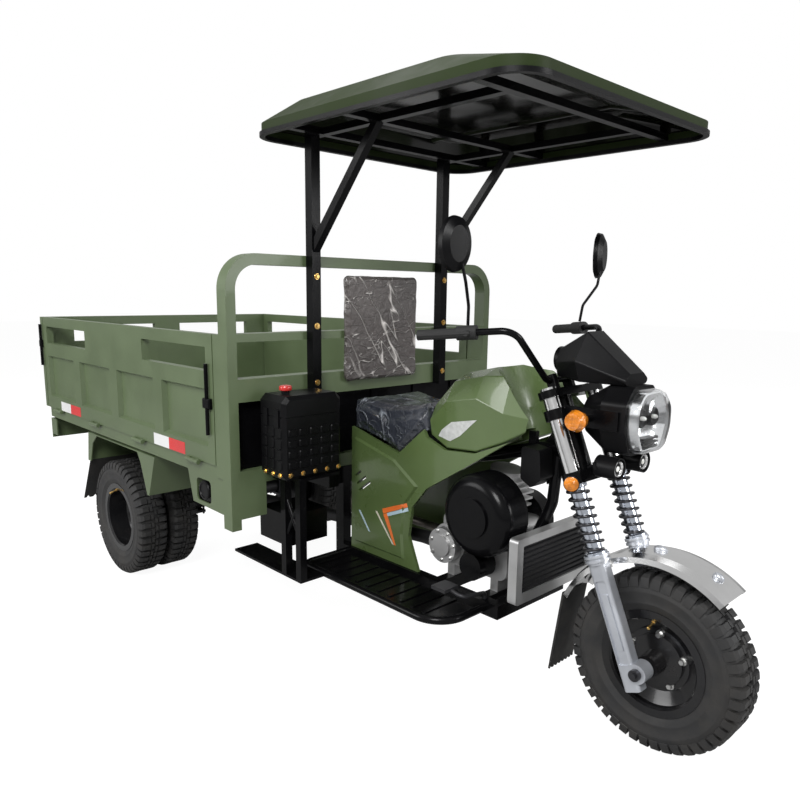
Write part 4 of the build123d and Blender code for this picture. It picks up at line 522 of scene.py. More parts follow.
def coil_tree():
    """Round wire wound into a spring about a leaning axis, joined to the incoming mesh."""
    tree, given, result = node_tree(
        "wound_spring", "GeometryNodeTree",
        [("Geometry", "Geometry", None), ("Turns", "Float", 7.0), ("Coil Radius", "Float", 0.03),
         ("Height", "Float", 0.2), ("Wire Radius", "Float", 0.005), ("Foot", "Vector", None),
         ("Lean", "Float", 0.0), ("Material", "Material", None)],
        [("Geometry", "Geometry", None)])
    spiral = add_node(tree, "GeometryNodeCurveSpiral", {
        "Resolution": 24, "Rotations": given.outputs["Turns"], "Start Radius": given.outputs["Coil Radius"],
        "End Radius": given.outputs["Coil Radius"], "Height": given.outputs["Height"]})
    section = add_node(tree, "GeometryNodeCurvePrimitiveCircle", {
        "Resolution": 10, "Radius": given.outputs["Wire Radius"]})
    sweep = add_node(tree, "GeometryNodeCurveToMesh", {
        "Curve": spiral.outputs[0], "Profile Curve": section.outputs[0], "Fill Caps": True})
    lean = add_node(tree, "ShaderNodeCombineXYZ", {"Y": given.outputs["Lean"]})
    place = add_node(tree, "GeometryNodeTransform", {
        "Translation": given.outputs["Foot"], "Rotation": lean.outputs[0]})
    smooth = add_node(tree, "GeometryNodeSetShadeSmooth")
    return close_tree(tree, given, result, sweep.outputs[0], place, smooth)


TREES = {"ring": ring_tree(), "row": row_tree(), "coil": coil_tree()}


def grow(obj, tree_name, **values):
    """Adds a geometry node modifier with its inputs set by socket identifier."""
    tree = TREES[tree_name]
    modifier = obj.modifiers.new(tree.name, "NODES")
    modifier.node_group = tree
    for item in tree.interface.items_tree:
        key = item.name.lower().replace(" ", "_")
        if item.in_out == "INPUT" and key in values:
            modifier[item.identifier] = values[key]


def settle(obj):
    """Turns a piece with modifiers into a plain mesh."""
    bpy.context.view_layer.update()
    view = bpy.context.evaluated_depsgraph_get()
    mesh = bpy.data.meshes.new_from_object(obj.evaluated_get(view), depsgraph=view)
    obj.modifiers.clear()
    old = obj.data
    obj.data = mesh
    bpy.data.meshes.remove(old)
    return obj


def pattern(mesh):
    """Helper object that node trees repeat; it never shows."""
    obj = placed(mesh.name, mesh)
    obj.hide_render = True
    return obj


def studs(name, body, part, points, turn, material, size=1.0):
    """Small parts on points that all face one way."""
    mesh = bpy.data.meshes.new(name)
    mesh.from_pydata([tuple(p) for p in points], [], [])
    obj = placed(name, mesh)
    grow(obj, "row", part=part, turn=turn, size=size, material=material)
    settle(obj)
    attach(obj, body)
    return obj


def drop_pattern(obj):
    """Removes a helper object and its mesh."""
    mesh = obj.data
    bpy.data.objects.remove(obj)
    bpy.data.meshes.remove(mesh)


def surface(node):
    """Search tree of a CAD node's surface."""
    mesh = NODES[node].data
    places = [v.co.copy() for v in mesh.vertices]
    return BVHTree.FromPolygons(places, [tuple(p.vertices) for p in mesh.polygons])


DECAL_LIFT, DECAL_THICK = 0.0007, 0.0006


def decal(name, node, outlines, material):
    """Thin film patches laid on both flanks of a node; outlines are (x, z) lists in metres."""
    skin = surface(node)

    def build(work):
        for side in (-1, 1):
            for outline in outlines:
                flat = bmesh.new()
                flat.faces.new([flat.verts.new((x, 0.0, z)) for x, z in outline])
                bmesh.ops.triangulate(flat, faces=flat.faces)
                bmesh.ops.subdivide_edges(flat, edges=flat.edges, cuts=7, use_grid_fill=True)
                flat.verts.index_update()
                heights = {}
                for vert in flat.verts:
                    start = Vector((vert.co.x, side * 0.6, vert.co.z))
                    hit = skin.ray_cast(start, Vector((0.0, -side, 0.0)))[0]
                    heights[vert.index] = hit.y if hit else None
                known = [h for h in heights.values() if h is not None]
                for vert in flat.verts:
                    height = heights[vert.index]
                    height = sum(known) / len(known) if height is None else height
                    vert.co.y = height + side * DECAL_LIFT
                base = {v.index: work.verts.new(v.co) for v in flat.verts}
                thick = Vector((0, side * DECAL_THICK, 0))
                top = {v.index: work.verts.new(v.co + thick) for v in flat.verts}
                for face in flat.faces:
                    ids = [v.index for v in face.verts]
                    work.faces.new([top[i] for i in ids])
                    work.faces.new([base[i] for i in reversed(ids)])
                for edge in flat.edges:
                    if edge.is_boundary:
                        a, b = (v.index for v in edge.verts)
                        work.faces.new((base[a], base[b], top[b], top[a]))
                flat.free()
    return built(name, "frame", build, material, smooth=60.0)


def face_at(node, start, direction):
    """Where a line from a start point first meets a CAD node."""
    hit = surface(node).ray_cast(Vector(start), Vector(direction))[0]
    if hit is None:
        raise RuntimeError("nothing of " + node + " found along the line")
    return hit


def area_lamp(name, place, target, size, power):
    """Soft studio lamp that looks at a target."""
    data = bpy.data.lights.new(name, "AREA")
    data.shape = "DISK"
    data.size = size
    data.energy = power
    obj = placed(name, data)
    obj.location = place
    obj.rotation_euler = (Vector(target) - Vector(place)).to_track_quat("-Z", "Y").to_euler()
    return obj


# Camera fitted to the photograph: place in metres, yaw, pitch and roll in degrees, the rest in pixels
CAMERA_PLACE = (2.476, -2.042, 1.413)
CAMERA_ANGLES = (45.947, 10.542, 0.794)
FOCAL_PIXELS = 716.38
PICTURE_CENTRE = (405.76, 425.01)
PICTURE_PIXELS = 800.0
SENSOR_WIDTH = 36.0

# Studio lamps: name, place, target, size and power
LAMPS = (
    ("key_lamp", (3.2, -4.2, 4.6), (0.2, 0.0, 0.9), 2.4, 330.0),
    ("side_lamp", (-2.6, -5.0, 2.6), (-0.6, 0.0, 0.8), 3.0, 150.0),
    ("top_lamp", (-0.4, 0.6, 5.2), (0.0, 0.0, 0.9), 4.5, 60.0),
    ("front_lamp", (5.6, 2.2, 2.4), (1.0, 0.0, 0.8), 2.2, 130.0),
    ("rear_lamp", (-5.2, 4.2, 3.6), (-0.6, 0.0, 0.8), 2.8, 260.0),
)
WHITE = (1.0, 1.0, 1.0, 1.0)
FLOOR_GREY = (0.45, 0.45, 0.45, 1.0)
FLOOR_HALF = 30
ROOM_LIGHT = 0.24
GLOSSY_SHARE = 0.35


def white_room(scene):
    """World that is white to the camera, and dimmer as light and in reflections."""
    world = bpy.data.worlds.new("white_room")
    scene.world = world
    world.use_nodes = True
    tree = world.node_tree
    back = tree.nodes["Background"]
    path = tree.nodes.new("ShaderNodeLightPath")
    glossy = maths(tree, "MULTIPLY", path.outputs["Is Glossy Ray"], GLOSSY_SHARE)
    clear = maths(tree, "ADD", path.outputs["Is Camera Ray"], path.outputs["Is Transmission Ray"])
    level = ranged(tree, maths(tree, "ADD", clear, glossy), 0.0, 1.0, ROOM_LIGHT, 1.0)
    back.inputs["Color"].default_value = WHITE
    tree.links.new(level, back.inputs["Strength"])


def studio_floor():
    """Pale floor that takes soft shadows and fades to white."""
    mesh = bpy.data.meshes.new("studio_floor")
    corners = [(x, y, 0) for x, y in oblong(FLOOR_HALF, FLOOR_HALF)]
    mesh.from_pydata(corners, [], [(0, 1, 2, 3)])
    pale = bpy.data.materials.new("pale_floor")
    pale.use_nodes = True
    tree = pale.node_tree
    shader = tree.nodes["Principled BSDF"]
    shader.inputs["Base Color"].default_value = FLOOR_GREY
    shader.inputs["Roughness"].default_value = 0.9
    shader.inputs["Specular IOR Level"].default_value = 0.0
    path = tree.nodes.new("ShaderNodeLightPath")
    share = maths(tree, "MULTIPLY", path.outputs["Is Camera Ray"], 0.55)
    white = add_node(tree, "ShaderNodeEmission", {"Color": WHITE, "Strength": 1.7})
    both = add_node(tree, "ShaderNodeMixShader", {0: share, 1: shader.outputs[0], 2: white.outputs[0]})
    tree.links.new(both.outputs[0], tree.nodes["Material Output"].inputs["Surface"])
    mesh.materials.append(pale)
    return placed("studio_floor", mesh)


def photo_camera(scene):
    """Camera that sees the tricycle as the photograph does."""
    yaw, pitch, roll = (math.radians(a) for a in CAMERA_ANGLES)
    level = math.cos(pitch)
    back_way = Vector((math.sin(yaw) * level, -math.cos(yaw) * level, math.sin(pitch)))
    across = Vector((math.cos(yaw), math.sin(yaw), 0.0))
    up = back_way.cross(across)
    x_axis = math.cos(roll) * across + math.sin(roll) * up
    y_axis = math.cos(roll) * up - math.sin(roll) * across
    data = bpy.data.cameras.new("photo_camera")
    data.sensor_width = SENSOR_WIDTH
    data.lens = FOCAL_PIXELS * SENSOR_WIDTH / PICTURE_PIXELS
    data.shift_x = -(PICTURE_CENTRE[0] - PICTURE_PIXELS / 2) / PICTURE_PIXELS
    data.shift_y = (PICTURE_CENTRE[1] - PICTURE_PIXELS / 2) / PICTURE_PIXELS
    camera = placed("photo_camera", data)
    turn = Matrix((x_axis, y_axis, back_way)).transposed().to_4x4()
    camera.matrix_world = Matrix.Translation(CAMERA_PLACE) @ turn
    scene.camera = camera


class TRICYCLE_OT_stage(bpy.types.Operator):
    """Floor, soft light, white surroundings and the camera"""

    bl_idname = "tricycle.stage"
    bl_label = "Stage"

    def execute(self, context):
        scene = context.scene
        scene.view_settings.view_transform = "Standard"
        white_room(scene)
        floor = studio_floor()
        lamps = [area_lamp(*row) for row in LAMPS]
        # The rear lamp's own reflection would wash out the top of the tank
        lamps[-1].visible_glossy = False
        photo_camera(scene)
        return {"FINISHED"}


class TRICYCLE_OT_paint(bpy.types.Operator):
    """Finishes on every node of the CAD model"""

    bl_idname = "tricycle.paint"
    bl_label = "Paint"

    def execute(self, context):
        tint = context.scene.tricycle_colours
        finishes = {
            "green_body": finish("body_green", tint.body, 0.30, coat=0.45, spread=0.05, bump=0.0002,
                                 dust=0.05),
            "green_paint": finish("bed_green", tint.bed, 0.42, coat=0.15, spread=0.07, bump=0.0003,
                                  dust=0.10),
            "black_paint": finish("gloss_black", (0.003, 0.003, 0.0035), 0.22, coat=0.03, spread=0.25,
                                  bump=0.0002, dust=0.01, spec=0.12),
            "black_plastic": finish("moulded_black", (0.004, 0.004, 0.0045), 0.34, spread=0.2, grain=520.0,
                                    dust=0.01, spec=0.13),
            "black_rubber": finish("soft_rubber", (0.014, 0.014, 0.014), 0.72, spread=0.25, grain=380.0,
                                   dust=0.15),
            "tyre_rubber": finish("tyre_rubber", (0.014, 0.014, 0.0145), 0.68, spread=0.3, tone=11.0,
                                  grain=300.0, bump=0.0007, dust=0.12),
            "rim_black": finish("rim_black", (0.008, 0.008, 0.009), 0.22, coat=0.2, spread=0.2, dust=0.05,
                                spec=0.35),
            "chrome_bright": finish("bright_chrome", (0.86, 0.86, 0.86), 0.16, metal=1.0, spread=0.05,
                                    bump=0.0001),
            "leg_alloy": finish("cast_leg_alloy", (0.50, 0.52, 0.56), 0.38, metal=0.6, grain=420.0,
                                dust=0.08),
            "engine_alloy": finish("cast_engine_alloy", (0.46, 0.46, 0.46), 0.44, metal=0.9, grain=320.0,
                                   dust=0.10),
            "spring_steel": finish("spring_steel", (0.045, 0.045, 0.05), 0.30, metal=0.7, grain=240.0),
            # Seat hide: its film creases carry a pale blue painted highlight at a share of 0.35
            "seat_leather": film_finish("filmed_leather", (0.030, 0.034, 0.045), (0.52, 0.57, 0.64),
                                        0.35, 9.0),
            "lens_clear": glass_finish("clear_lens", (0.94, 0.95, 0.96)),
            "lens_amber": finish("amber_lens", (0.62, 0.19, 0.008), 0.14, coat=0.5, spread=0.35, tone=40.0,
                                 grain=110.0, cells=1.0, bump=0.003),
            "lens_red": finish("red_lens", (0.55, 0.012, 0.01), 0.12, coat=0.6, through=0.25, grain=160.0,
                               cells=1.0, bump=0.001),
            "core_black": finish("core_black", (0.009, 0.009, 0.010), 0.5, grain=260.0, dust=0.05, spec=0.25),
            "exhaust_steel": finish("exhaust_steel", (0.22, 0.20, 0.18), 0.42, metal=0.9, spread=0.3,
                                    tone=14.0, dust=0.12),
            "dark_steel": finish("dark_steel", (0.035, 0.035, 0.038), 0.45, metal=0.6, spread=0.3, dust=0.10),
        }
        for entry in frame["record"]["subparts"]:
            dress(NODES[entry["node"]].data, finishes[entry["material_slot"]])
        # Canopy roof: the body green darkened to 0.26 of itself as painted shade, so the roof reads darker
        # than the tank
        dress(NODES["canopy_roof"].data, finish(
            "canopy_green", shade(tint.body, 0.26), 0.48, spread=0.06, bump=0.0002, spec=0.10))
        return {"FINISHED"}


# Tyre sections, as (radius, distance from the tyre's middle) pairs
HALF_TYRE = TYRE_WIDTH / 2
TYRE_WALL = (
    (0.1535, 0.050), (0.163, 0.0515), (0.172, 0.0555), (0.184, 0.0625), (0.192, 0.0650), (0.194, 0.0662),
    (0.198, 0.0662), (0.200, 0.0655), (0.214, 0.0682), (0.228, HALF_TYRE - 0.0008),
    (0.230, HALF_TYRE - 0.0002), (0.234, HALF_TYRE - 0.0002), (0.236, HALF_TYRE - 0.0012),
    (0.250, 0.0665), (0.262, 0.0605), (0.270, 0.0500), (0.2735, 0.0300), (0.2745, 0.0100))
SHOULDER_LUG = (
    (0.266, 0.019), (TYRE_RADIUS, 0.021), (TYRE_RADIUS, 0.050), (TYRE_RADIUS - 0.008, 0.0625),
    (0.262, 0.0685), (0.247, HALF_TYRE - 0.0002), (0.244, 0.0655), (0.262, 0.0590))
MIDDLE_BLOCK = (
    (0.268, 0.002), (TYRE_RADIUS - 0.0005, 0.0035), (TYRE_RADIUS - 0.0005, 0.0155), (0.268, 0.0170))
CROWN_SHARE, FOOT_SHARE, CROWN_DEPTH = 0.84, 1.12, 0.004

# Wheels: tyre node, rim node, body, axle, tyre middles, sides with nuts and the nuts' distance from the axle
WHEELS = (
    ("front_tyre", "front_rim", "front_wheel", FRONT_AXLE, (0.0,), (-1, 1), 0.085),
    ("rear_tyres_right", "rear_rims_right", "rear_wheels_right", REAR_AXLE,
     (-TWIN_OUTER, -TWIN_INNER), (-1,), 0.072),
    ("rear_tyres_left", "rear_rims_left", "rear_wheels_left", REAR_AXLE,
     (TWIN_OUTER, TWIN_INNER), (1,), 0.072),
)


def lug(name, section, half):
    """Tread block: a (radius, sideways) section, drawn in towards its crown."""
    def build(work):
        crown = max(p[0] for p in section)
        bridge(work, [[Vector((r, way * half * (CROWN_SHARE if r > crown - CROWN_DEPTH else FOOT_SHARE), s))
                       for r, s in section] for way in (-1, 1)])
        bmesh.ops.triangulate(work, faces=[f for f in work.faces if len(f.verts) > 4])
    return pattern(closed_mesh(name, build, 25.0))


class TRICYCLE_OT_tyres(bpy.types.Operator):
    """Tyres with lugged shoulders and a double row of blocks"""

    bl_idname = "tricycle.tyres"
    bl_label = "Tyres"

    def execute(self, context):
        sizes = context.scene.tricycle_sizes
        rubber = MADE["tyre_rubber"]
        section = [*TYRE_WALL, *((r, -s) for r, s in reversed(TYRE_WALL))]
        blocks = []
        for way in (-1, 1):
            for name, outline, share in (("shoulder_lug", SHOULDER_LUG, 0.5),
                                         ("middle_block", MIDDLE_BLOCK, 0.56)):
                block = lug(name, [(r, way * s) for r, s in outline], sizes.lug_length * share)
                blocks.append((block, 0.0 if way < 0 else math.pi / sizes.lug_count))
        for node, _, body, axle, places, _, _ in WHEELS:
            centres = [axle + Vector((0, place, 0)) for place in places]

            def build(work):
                for centre in centres:
                    hoop(work, centre, section)
            obj = piece(node.replace("_tyre", "_treaded_tyre"), closed_mesh(node, build, 35.0), body, rubber)
            for centre in centres:
                for block, phase in blocks:
                    grow(obj, "ring", block=block, count=sizes.lug_count, radius=0.0, phase=phase,
                         centre=centre, material=rubber)
            settle(obj)
            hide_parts(node)
        for block, _ in blocks:
            drop_pattern(block)
        return {"FINISHED"}


VALVE = ((0.0065, -0.004), (0.0065, 0.006), (0.004, 0.007), (0.004, 0.026), (0.0055, 0.027), (0.0055, 0.038),
         (0.003, 0.040))
VALVE_RADIUS, VALVE_SEAT_RADIUS = 0.143, 0.146


class TRICYCLE_OT_wheel_trim(bpy.types.Operator):
    """Wheel nuts and valves"""

    bl_idname = "tricycle.wheel_trim"
    bl_label = "Wheel nuts and valves"

    def execute(self, context):
        tint = context.scene.tricycle_colours
        brass = finish("plated_brass", tint.brass, 0.26, metal=1.0, spread=0.12, grain=240.0)
        zinc = finish("zinc_plate", (0.55, 0.55, 0.54), 0.30, metal=1.0, spread=0.12, grain=240.0)
        for _, node, body, axle, _, sides, reach in WHEELS:
            for way in sides:
                name = node.replace("rim", "wheel_nuts") + ("_r" if way < 0 else "_l")
                seat = face_at(node, axle + Vector((reach, way * 0.9, 0.0)), (0, -way, 0)).y
                valve_seat = face_at(node, axle + Vector((0, way * 0.9, VALVE_SEAT_RADIUS)), (0, -way, 0)).y

                def build(work):
                    spot = Vector((axle.x, valve_seat, axle.z + VALVE_RADIUS))
                    turned(work, spot, (0, way, -0.35), VALVE, 12)
                obj = built(name, body, build, brass, smooth=30.0)
                nut = bolt_mesh("wheel_nut", 0.0095, 0.017)
                if way > 0:
                    nut.transform(Matrix.Scale(-1.0, 4, (0, 0, 1)))
                    nut.flip_normals()
                nut.transform(Matrix.Translation((reach, 0.0, 0.0)))
                nuts = pattern(nut)
                grow(obj, "ring", block=nuts, count=5, radius=0.0, phase=0.3,
                     centre=Vector((axle.x, seat, axle.z)), material=zinc)
                settle(obj)
                drop_pattern(nuts)
        return {"FINISHED"}


# Fork springs, in metres along the steering axis
SPRING_FOOT, SPRING_HEAD = 0.369, 0.595
SPRING_LENGTH = SPRING_HEAD - SPRING_FOOT
SPRING_CORE = (
    (0.036, 0.0), (0.036, 0.008), (0.030, 0.010), (0.0245, 0.011), (0.0245, SPRING_LENGTH - 0.013),
    (0.030, SPRING_LENGTH - 0.012), (0.034, SPRING_LENGTH - 0.010), (0.034, SPRING_LENGTH))
COIL_RADIUS = 0.0325
COIL_MARGIN = 0.014


class TRICYCLE_OT_fork_springs(bpy.types.Operator):
    """Wound springs between the fork tubes and the legs"""

    bl_idname = "tricycle.fork_springs"
    bl_label = "Fork springs"

    def execute(self, context):
        sizes = context.scene.tricycle_sizes
        legs = (-LEG_SPREAD, LEG_SPREAD)

        def build(work):
            for left in legs:
                turned(work, fork_point(LEG_AHEAD, left, SPRING_FOOT), ALONG, SPRING_CORE, 28)
        chrome = finish("tube_chrome", (0.62, 0.66, 0.74), 0.20, metal=1.0, spread=0.08, bump=0.0001)
        obj = built("fork_coil_springs", "steering", build, chrome)
        for left in legs:
            grow(obj, "coil", turns=sizes.spring_turns, coil_radius=COIL_RADIUS,
                 height=SPRING_LENGTH - 2 * COIL_MARGIN, wire_radius=sizes.spring_wire,
                 foot=fork_point(LEG_AHEAD, left, SPRING_FOOT + COIL_MARGIN), lean=-RAKE,
                 material=MADE["spring_steel"])
        settle(obj)
        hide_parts("fork_springs")
        return {"FINISHED"}


CLOTH_FRAMES = 20


def swell(obj, voxel, cap):
    """Fills a pad with a short pressure simulation, each point moving no more than a cap."""
    shell = obj.modifiers.new("even_mesh", "REMESH")
    shell.mode = "VOXEL"
    shell.voxel_size = voxel
    settle(obj)
    start = [v.co.copy() for v in obj.data.vertices]
    cloth = obj.modifiers.new("stuffing", "CLOTH")
    cloth.settings.use_pressure = True
    cloth.settings.uniform_pressure_force = 4.0
    cloth.settings.quality = 4
    cloth.settings.mass = 0.3
    cloth.settings.effector_weights.gravity = 0.0
    cloth.point_cache.frame_start = 1
    cloth.point_cache.frame_end = CLOTH_FRAMES
    scene = bpy.context.scene
    for step in range(1, CLOTH_FRAMES + 1):
        scene.frame_set(step)
    settle(obj)
    for vert, origin in zip(obj.data.vertices, start):
        move = vert.co - origin
        if move.length > cap:
            move.length = cap
        vert.co = origin + move
    scene.frame_set(1)


def soft_copy(node, name, shrink):
    """Merged copy of a CAD node's mesh, drawn in by a margin, as a new piece."""
    work = bmesh.new()
    work.from_mesh(NODES[node].data)
    bmesh.ops.remove_doubles(work, verts=work.verts, dist=1e-5)
    low, high = (Vector(c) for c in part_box(node))
    middle = (low + high) / 2
    for vert in work.verts:
        for axis in range(3):
            half = (high[axis] - low[axis]) / 2
            vert.co[axis] = middle[axis] + (vert.co[axis] - middle[axis]) * (half - shrink) / half
    mesh = bpy.data.meshes.new(name)
    work.to_mesh(mesh)
    work.free()
    return piece(name, mesh, "frame")


def crease_film(obj, height, limits):
    """Raises irregular film creases on a pad and keeps it inside the CAD limits."""
    low, high = limits
    obj.data.update()
    normals = [v.normal.copy() for v in obj.data.vertices]
    for vert, normal in zip(obj.data.vertices, normals):
        across = vert.co.y * 0.85 + vert.co.z * 0.52
        along = vert.co.z * 0.85 - vert.co.y * 0.52
        spot = Vector((vert.co.x * 7.0, across * 14.0, along * 3.2))
        fold = noise.ridged_multi_fractal(spot, 1.0, 2.1, 3, 0.9, 2.0)
        vert.co += normal * height * (fold * 0.45 - 0.55)
        for axis in range(3):
            vert.co[axis] = min(max(vert.co[axis], low[axis]), high[axis])


class TRICYCLE_OT_pads(bpy.types.Operator):
    """Stuffed seat and backrest under clear film"""

    bl_idname = "tricycle.pads"
    bl_label = "Seat and backrest pads"

    def execute(self, context):
        sizes = context.scene.tricycle_sizes
        hide = MADE["filmed_leather"]
        # Backrest film: its creases carry a pale warm painted highlight at a share of 0.8
        clear = film_finish("crinkled_film", (0.070, 0.060, 0.057), (0.80, 0.76, 0.73), 0.8, 14.0)
        for node, name, finish_used, voxel, fill, film in (
                ("seat", "stuffed_seat", hide, 0.006, 0.7, 0.7),
                ("backrest", "stuffed_backrest", clear, 0.005, 0.6, 1.0)):
            obj = soft_copy(node, name, sizes.pad_swell * 0.6)
            swell(obj, voxel, sizes.pad_swell)
            smooth = obj.modifiers.new("smooth", "SUBSURF")
            smooth.levels = 1
            smooth.render_levels = 1
            settle(obj)
            crease_film(obj, sizes.wrinkle * film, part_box(node))
            dress(obj.data, finish_used)
            obj.data.shade_smooth()
            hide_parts(node)
        return {"FINISHED"}


# Headlight outline and, as (depth, size) shares, its glass outside and inside and its reflector
LAMP_CORNERS = ((-0.058, 0.107), (0.058, 0.107), (0.103, 0.056), (0.103, -0.028), (0.064, -0.107),
                (-0.064, -0.107), (-0.103, -0.028), (-0.103, 0.056))
LAMP_HEIGHT = 0.214
GLASS_OUTSIDE = ((0.0, 0.985), (0.45, 0.96), (0.72, 0.90), (0.9, 0.78), (0.99, 0.55), (0.995, 0.2))
GLASS_INSIDE = ((0.0, 0.955), (0.43, 0.93), (0.68, 0.87), (0.85, 0.75), (0.94, 0.52), (0.945, 0.2))
REFLECTOR = ((0.02, 0.90), (0.5, 0.88), (0.56, 0.84), (0.34, 0.70), (0.2, 0.52), (0.12, 0.30))
BULB_SIDE, BULB_RISE = 0.036, 0.012
BAR_LEVELS = (-0.052, -0.066, -0.080)


def lamp_ring(x, share, middle_z, count=56):
    """Rounded outline of the headlight at a station, as a ring of points."""
    corners = [Vector(c) for c in LAMP_CORNERS]
    lengths = [(corners[(i + 1) % 8] - c).length for i, c in enumerate(corners)]
    whole = sum(lengths)
    ring = []
    for k in range(count):
        left = whole * k / count
        i = 0
        while left > lengths[i]:
            left -= lengths[i]
            i += 1
        ring.append(corners[i].lerp(corners[(i + 1) % 8], left / lengths[i]))
    for _ in range(3):
        ring = [(ring[i - 1] + ring[i] * 2 + ring[(i + 1) % count]) / 4 for i in range(count)]
    return [Vector((x, p.x * share, middle_z + p.y * share)) for p in ring]


class TRICYCLE_OT_headlight(bpy.types.Operator):
    """Headlight lens, fluted reflector and bulbs"""

    bl_idname = "tricycle.headlight"
    bl_label = "Headlight"

    def execute(self, context):
        low, high = (Vector(c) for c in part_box("headlight_lens"))
        centre = (low.z + high.z) / 2
        depth = high.x - low.x
        full = (high.z - low.z) / LAMP_HEIGHT

        def ring(along, share):
            return lamp_ring(low.x + depth * along, share * full, centre)

        def lens(work):
            bridge(work, [ring(*row) for row in (*reversed(GLASS_INSIDE), *GLASS_OUTSIDE)])
        glass = built("headlight_glass", "steering", lens, MADE["clear_lens"], smooth=50.0)
        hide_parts("headlight_lens")

        def bowl(work):
            rings = []
            for along, share in REFLECTOR:
                points = ring(along, share)
                middle = sum(points, Vector()) / len(points)
                for i, point in enumerate(points):
                    flute = 1.0 + (0.022 if i % 4 < 2 else -0.012) * (share < 0.8)
                    point.yz = middle.yz + (point.yz - middle.yz) * flute
                rings.append(points)
            bridge(work, rings)
            for side in (-1, 1):
                spot = Vector((low.x + depth * 0.12, side * BULB_SIDE * full, centre + BULB_RISE))
                turned(work, spot, (1, 0, 0), [
                    (0.030, -0.004), (0.030, 0.012), (0.026, 0.016), (0.022, 0.010), (0.016, 0.008)],
                    28, slot=1)
                turned(work, spot, (1, 0, 0), [(0.007, 0.004), (0.007, 0.018), (0.004, 0.024)], 12, slot=2)
            for level in BAR_LEVELS:
                bar = [Vector((low.x + depth * 0.14, y, centre + level + z)) for y, z in oblong(0.046, 0.004)]
                slab(work, bar, (1, 0, 0), depth * 0.4, 0.002, slot=1)
        white = finish("lamp_white", (0.78, 0.78, 0.74), 0.25, spread=0.06, glow=0.15)
        built("headlight_reflector", "steering", bowl, MADE["bright_chrome"], MADE["moulded_black"], white,
              smooth=30.0)
        return {"FINISHED"}


SPOT_SIDE, SPOT_LEVEL = 0.078, 0.884
REFLECTOR_X, REFLECTOR_LEVEL = 1.280, 0.831

# Lathe profiles in the order of their materials: rim, well and lens, then amber lens and holder
SPOT_LAMP = (
    (32, ((0.026, 0.0), (0.027, 0.006), (0.024, 0.009), (0.020, 0.006), (0.019, 0.003))),
    (28, ((0.0195, 0.0), (0.0195, 0.0035), (0.010, 0.0040))),
    (20, ((0.009, 0.002), (0.009, 0.005), (0.006, 0.007), (0.002, 0.0078))),
)
FORK_REFLECTOR = (
    ((0.023, 0.0), (0.023, 0.006), (0.020, 0.008), (0.004, 0.010)),
    ((0.008, -0.014), (0.008, -0.003), (0.025, -0.002), (0.0255, 0.004), (0.024, 0.005)),
)


class TRICYCLE_OT_small_lamps(bpy.types.Operator):
    """Spot lamp lenses and fork reflectors"""

    bl_idname = "tricycle.small_lamps"
    bl_label = "Small lamps"

    def execute(self, context):
        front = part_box("spot_lamps")[1][0]

        def spots(work):
            for side in (-1, 1):
                spot = face_at("spot_lamps", (front + 0.2, side * SPOT_SIDE, SPOT_LEVEL), (-1, 0, 0))
                for slot, (sides, profile) in enumerate(SPOT_LAMP):
                    turned(work, spot, (1, 0, 0), profile, sides, slot)
        built("spot_lamp_lenses", "steering", spots, MADE["bright_chrome"], MADE["moulded_black"],
              MADE["lamp_white"])

        def reflectors(work):
            for side in (-1, 1):
                look = Vector((0.45, side, 0.0)).normalized()
                spot = face_at("fork_clamps", (REFLECTOR_X, side * 0.6, REFLECTOR_LEVEL), (0, -side, 0))
                for slot, profile in enumerate(FORK_REFLECTOR):
                    turned(work, spot + look * 0.005, look, profile, 28, slot)
        built("fork_reflectors", "steering", reflectors, MADE["amber_lens"], MADE["moulded_black"])
        return {"FINISHED"}


MIRROR_PLACE = (0.985, 0.402, 1.556)
MIRROR_TURN = 0.28
MIRROR_HALVES = (0.046, 0.072)


class TRICYCLE_OT_mirror_glass(bpy.types.Operator):
    """Silvered glass in the two mirrors"""

    bl_idname = "tricycle.mirror_glass"
    bl_label = "Mirror glass"

    def execute(self, context):
        silver = finish("mirror_silver", (0.80, 0.82, 0.84), 0.03, metal=1.0, spread=0.02, bump=0.0)

        def build(work):
            for side in (-1, 1):
                look = Vector((-1.0, -side * MIRROR_TURN, 0.0)).normalized()
                wide = Vector((0, 0, 1)).cross(look)
                middle = Vector((MIRROR_PLACE[0], side * MIRROR_PLACE[1], MIRROR_PLACE[2]))
                middle = face_at("mirrors", middle + look * 0.3, -look) + look * 0.0004
                outline = [middle + wide * u + Vector((0, 0, v)) for u, v in rounded(*MIRROR_HALVES, 0.6, 40)]
                slab(work, outline, look, 0.0018, 0.0008)
        built("mirror_glass", "steering", build, silver)
        return {"FINISHED"}


TAPE_SPANS = ((-1.556, -1.280), (-0.437, -0.158))
TAPE_HEIGHT = (0.7575, 0.8065)


class TRICYCLE_OT_bed_tape(bpy.types.Operator):
    """White and red reflective tape along the foot of the bed"""

    bl_idname = "tricycle.bed_tape"
    bl_label = "Reflective tape"

    def execute(self, context):
        tint = context.scene.tricycle_colours
        white = finish("tape_white", tint.tape_white, 0.35, coat=0.3, spread=0.05, grain=300.0, cells=1.0)
        red = finish("tape_red", tint.tape_red, 0.35, coat=0.3, spread=0.08, grain=300.0, cells=1.0)
        for body, node, side in (("side_right", "drop_side_right", -1), ("side_left", "drop_side_left", 1)):
            probe = (TAPE_SPANS[0][0] + 0.03, side * 2.0, TAPE_HEIGHT[0] + 0.02)
            face_y = face_at(node, probe, (0, -side, 0)).y
            low, high = TAPE_HEIGHT

            def build(work):
                for start, end in TAPE_SPANS:
                    half = (start + end) / 2
                    for a, b, slot in ((start, half - 0.0004, 0), (half + 0.0004, end, 1)):
                        corners = ((a, low), (b, low), (b, high), (a, high))
                        outline = [Vector((x, face_y, z)) for x, z in corners]
                        slab(work, outline, (0, side, 0), 0.0009, 0.0004, slot)
            name = "bed_tape_" + ("right" if side < 0 else "left")
            built(name, body, build, white, red, smooth=20.0)
        return {"FINISHED"}


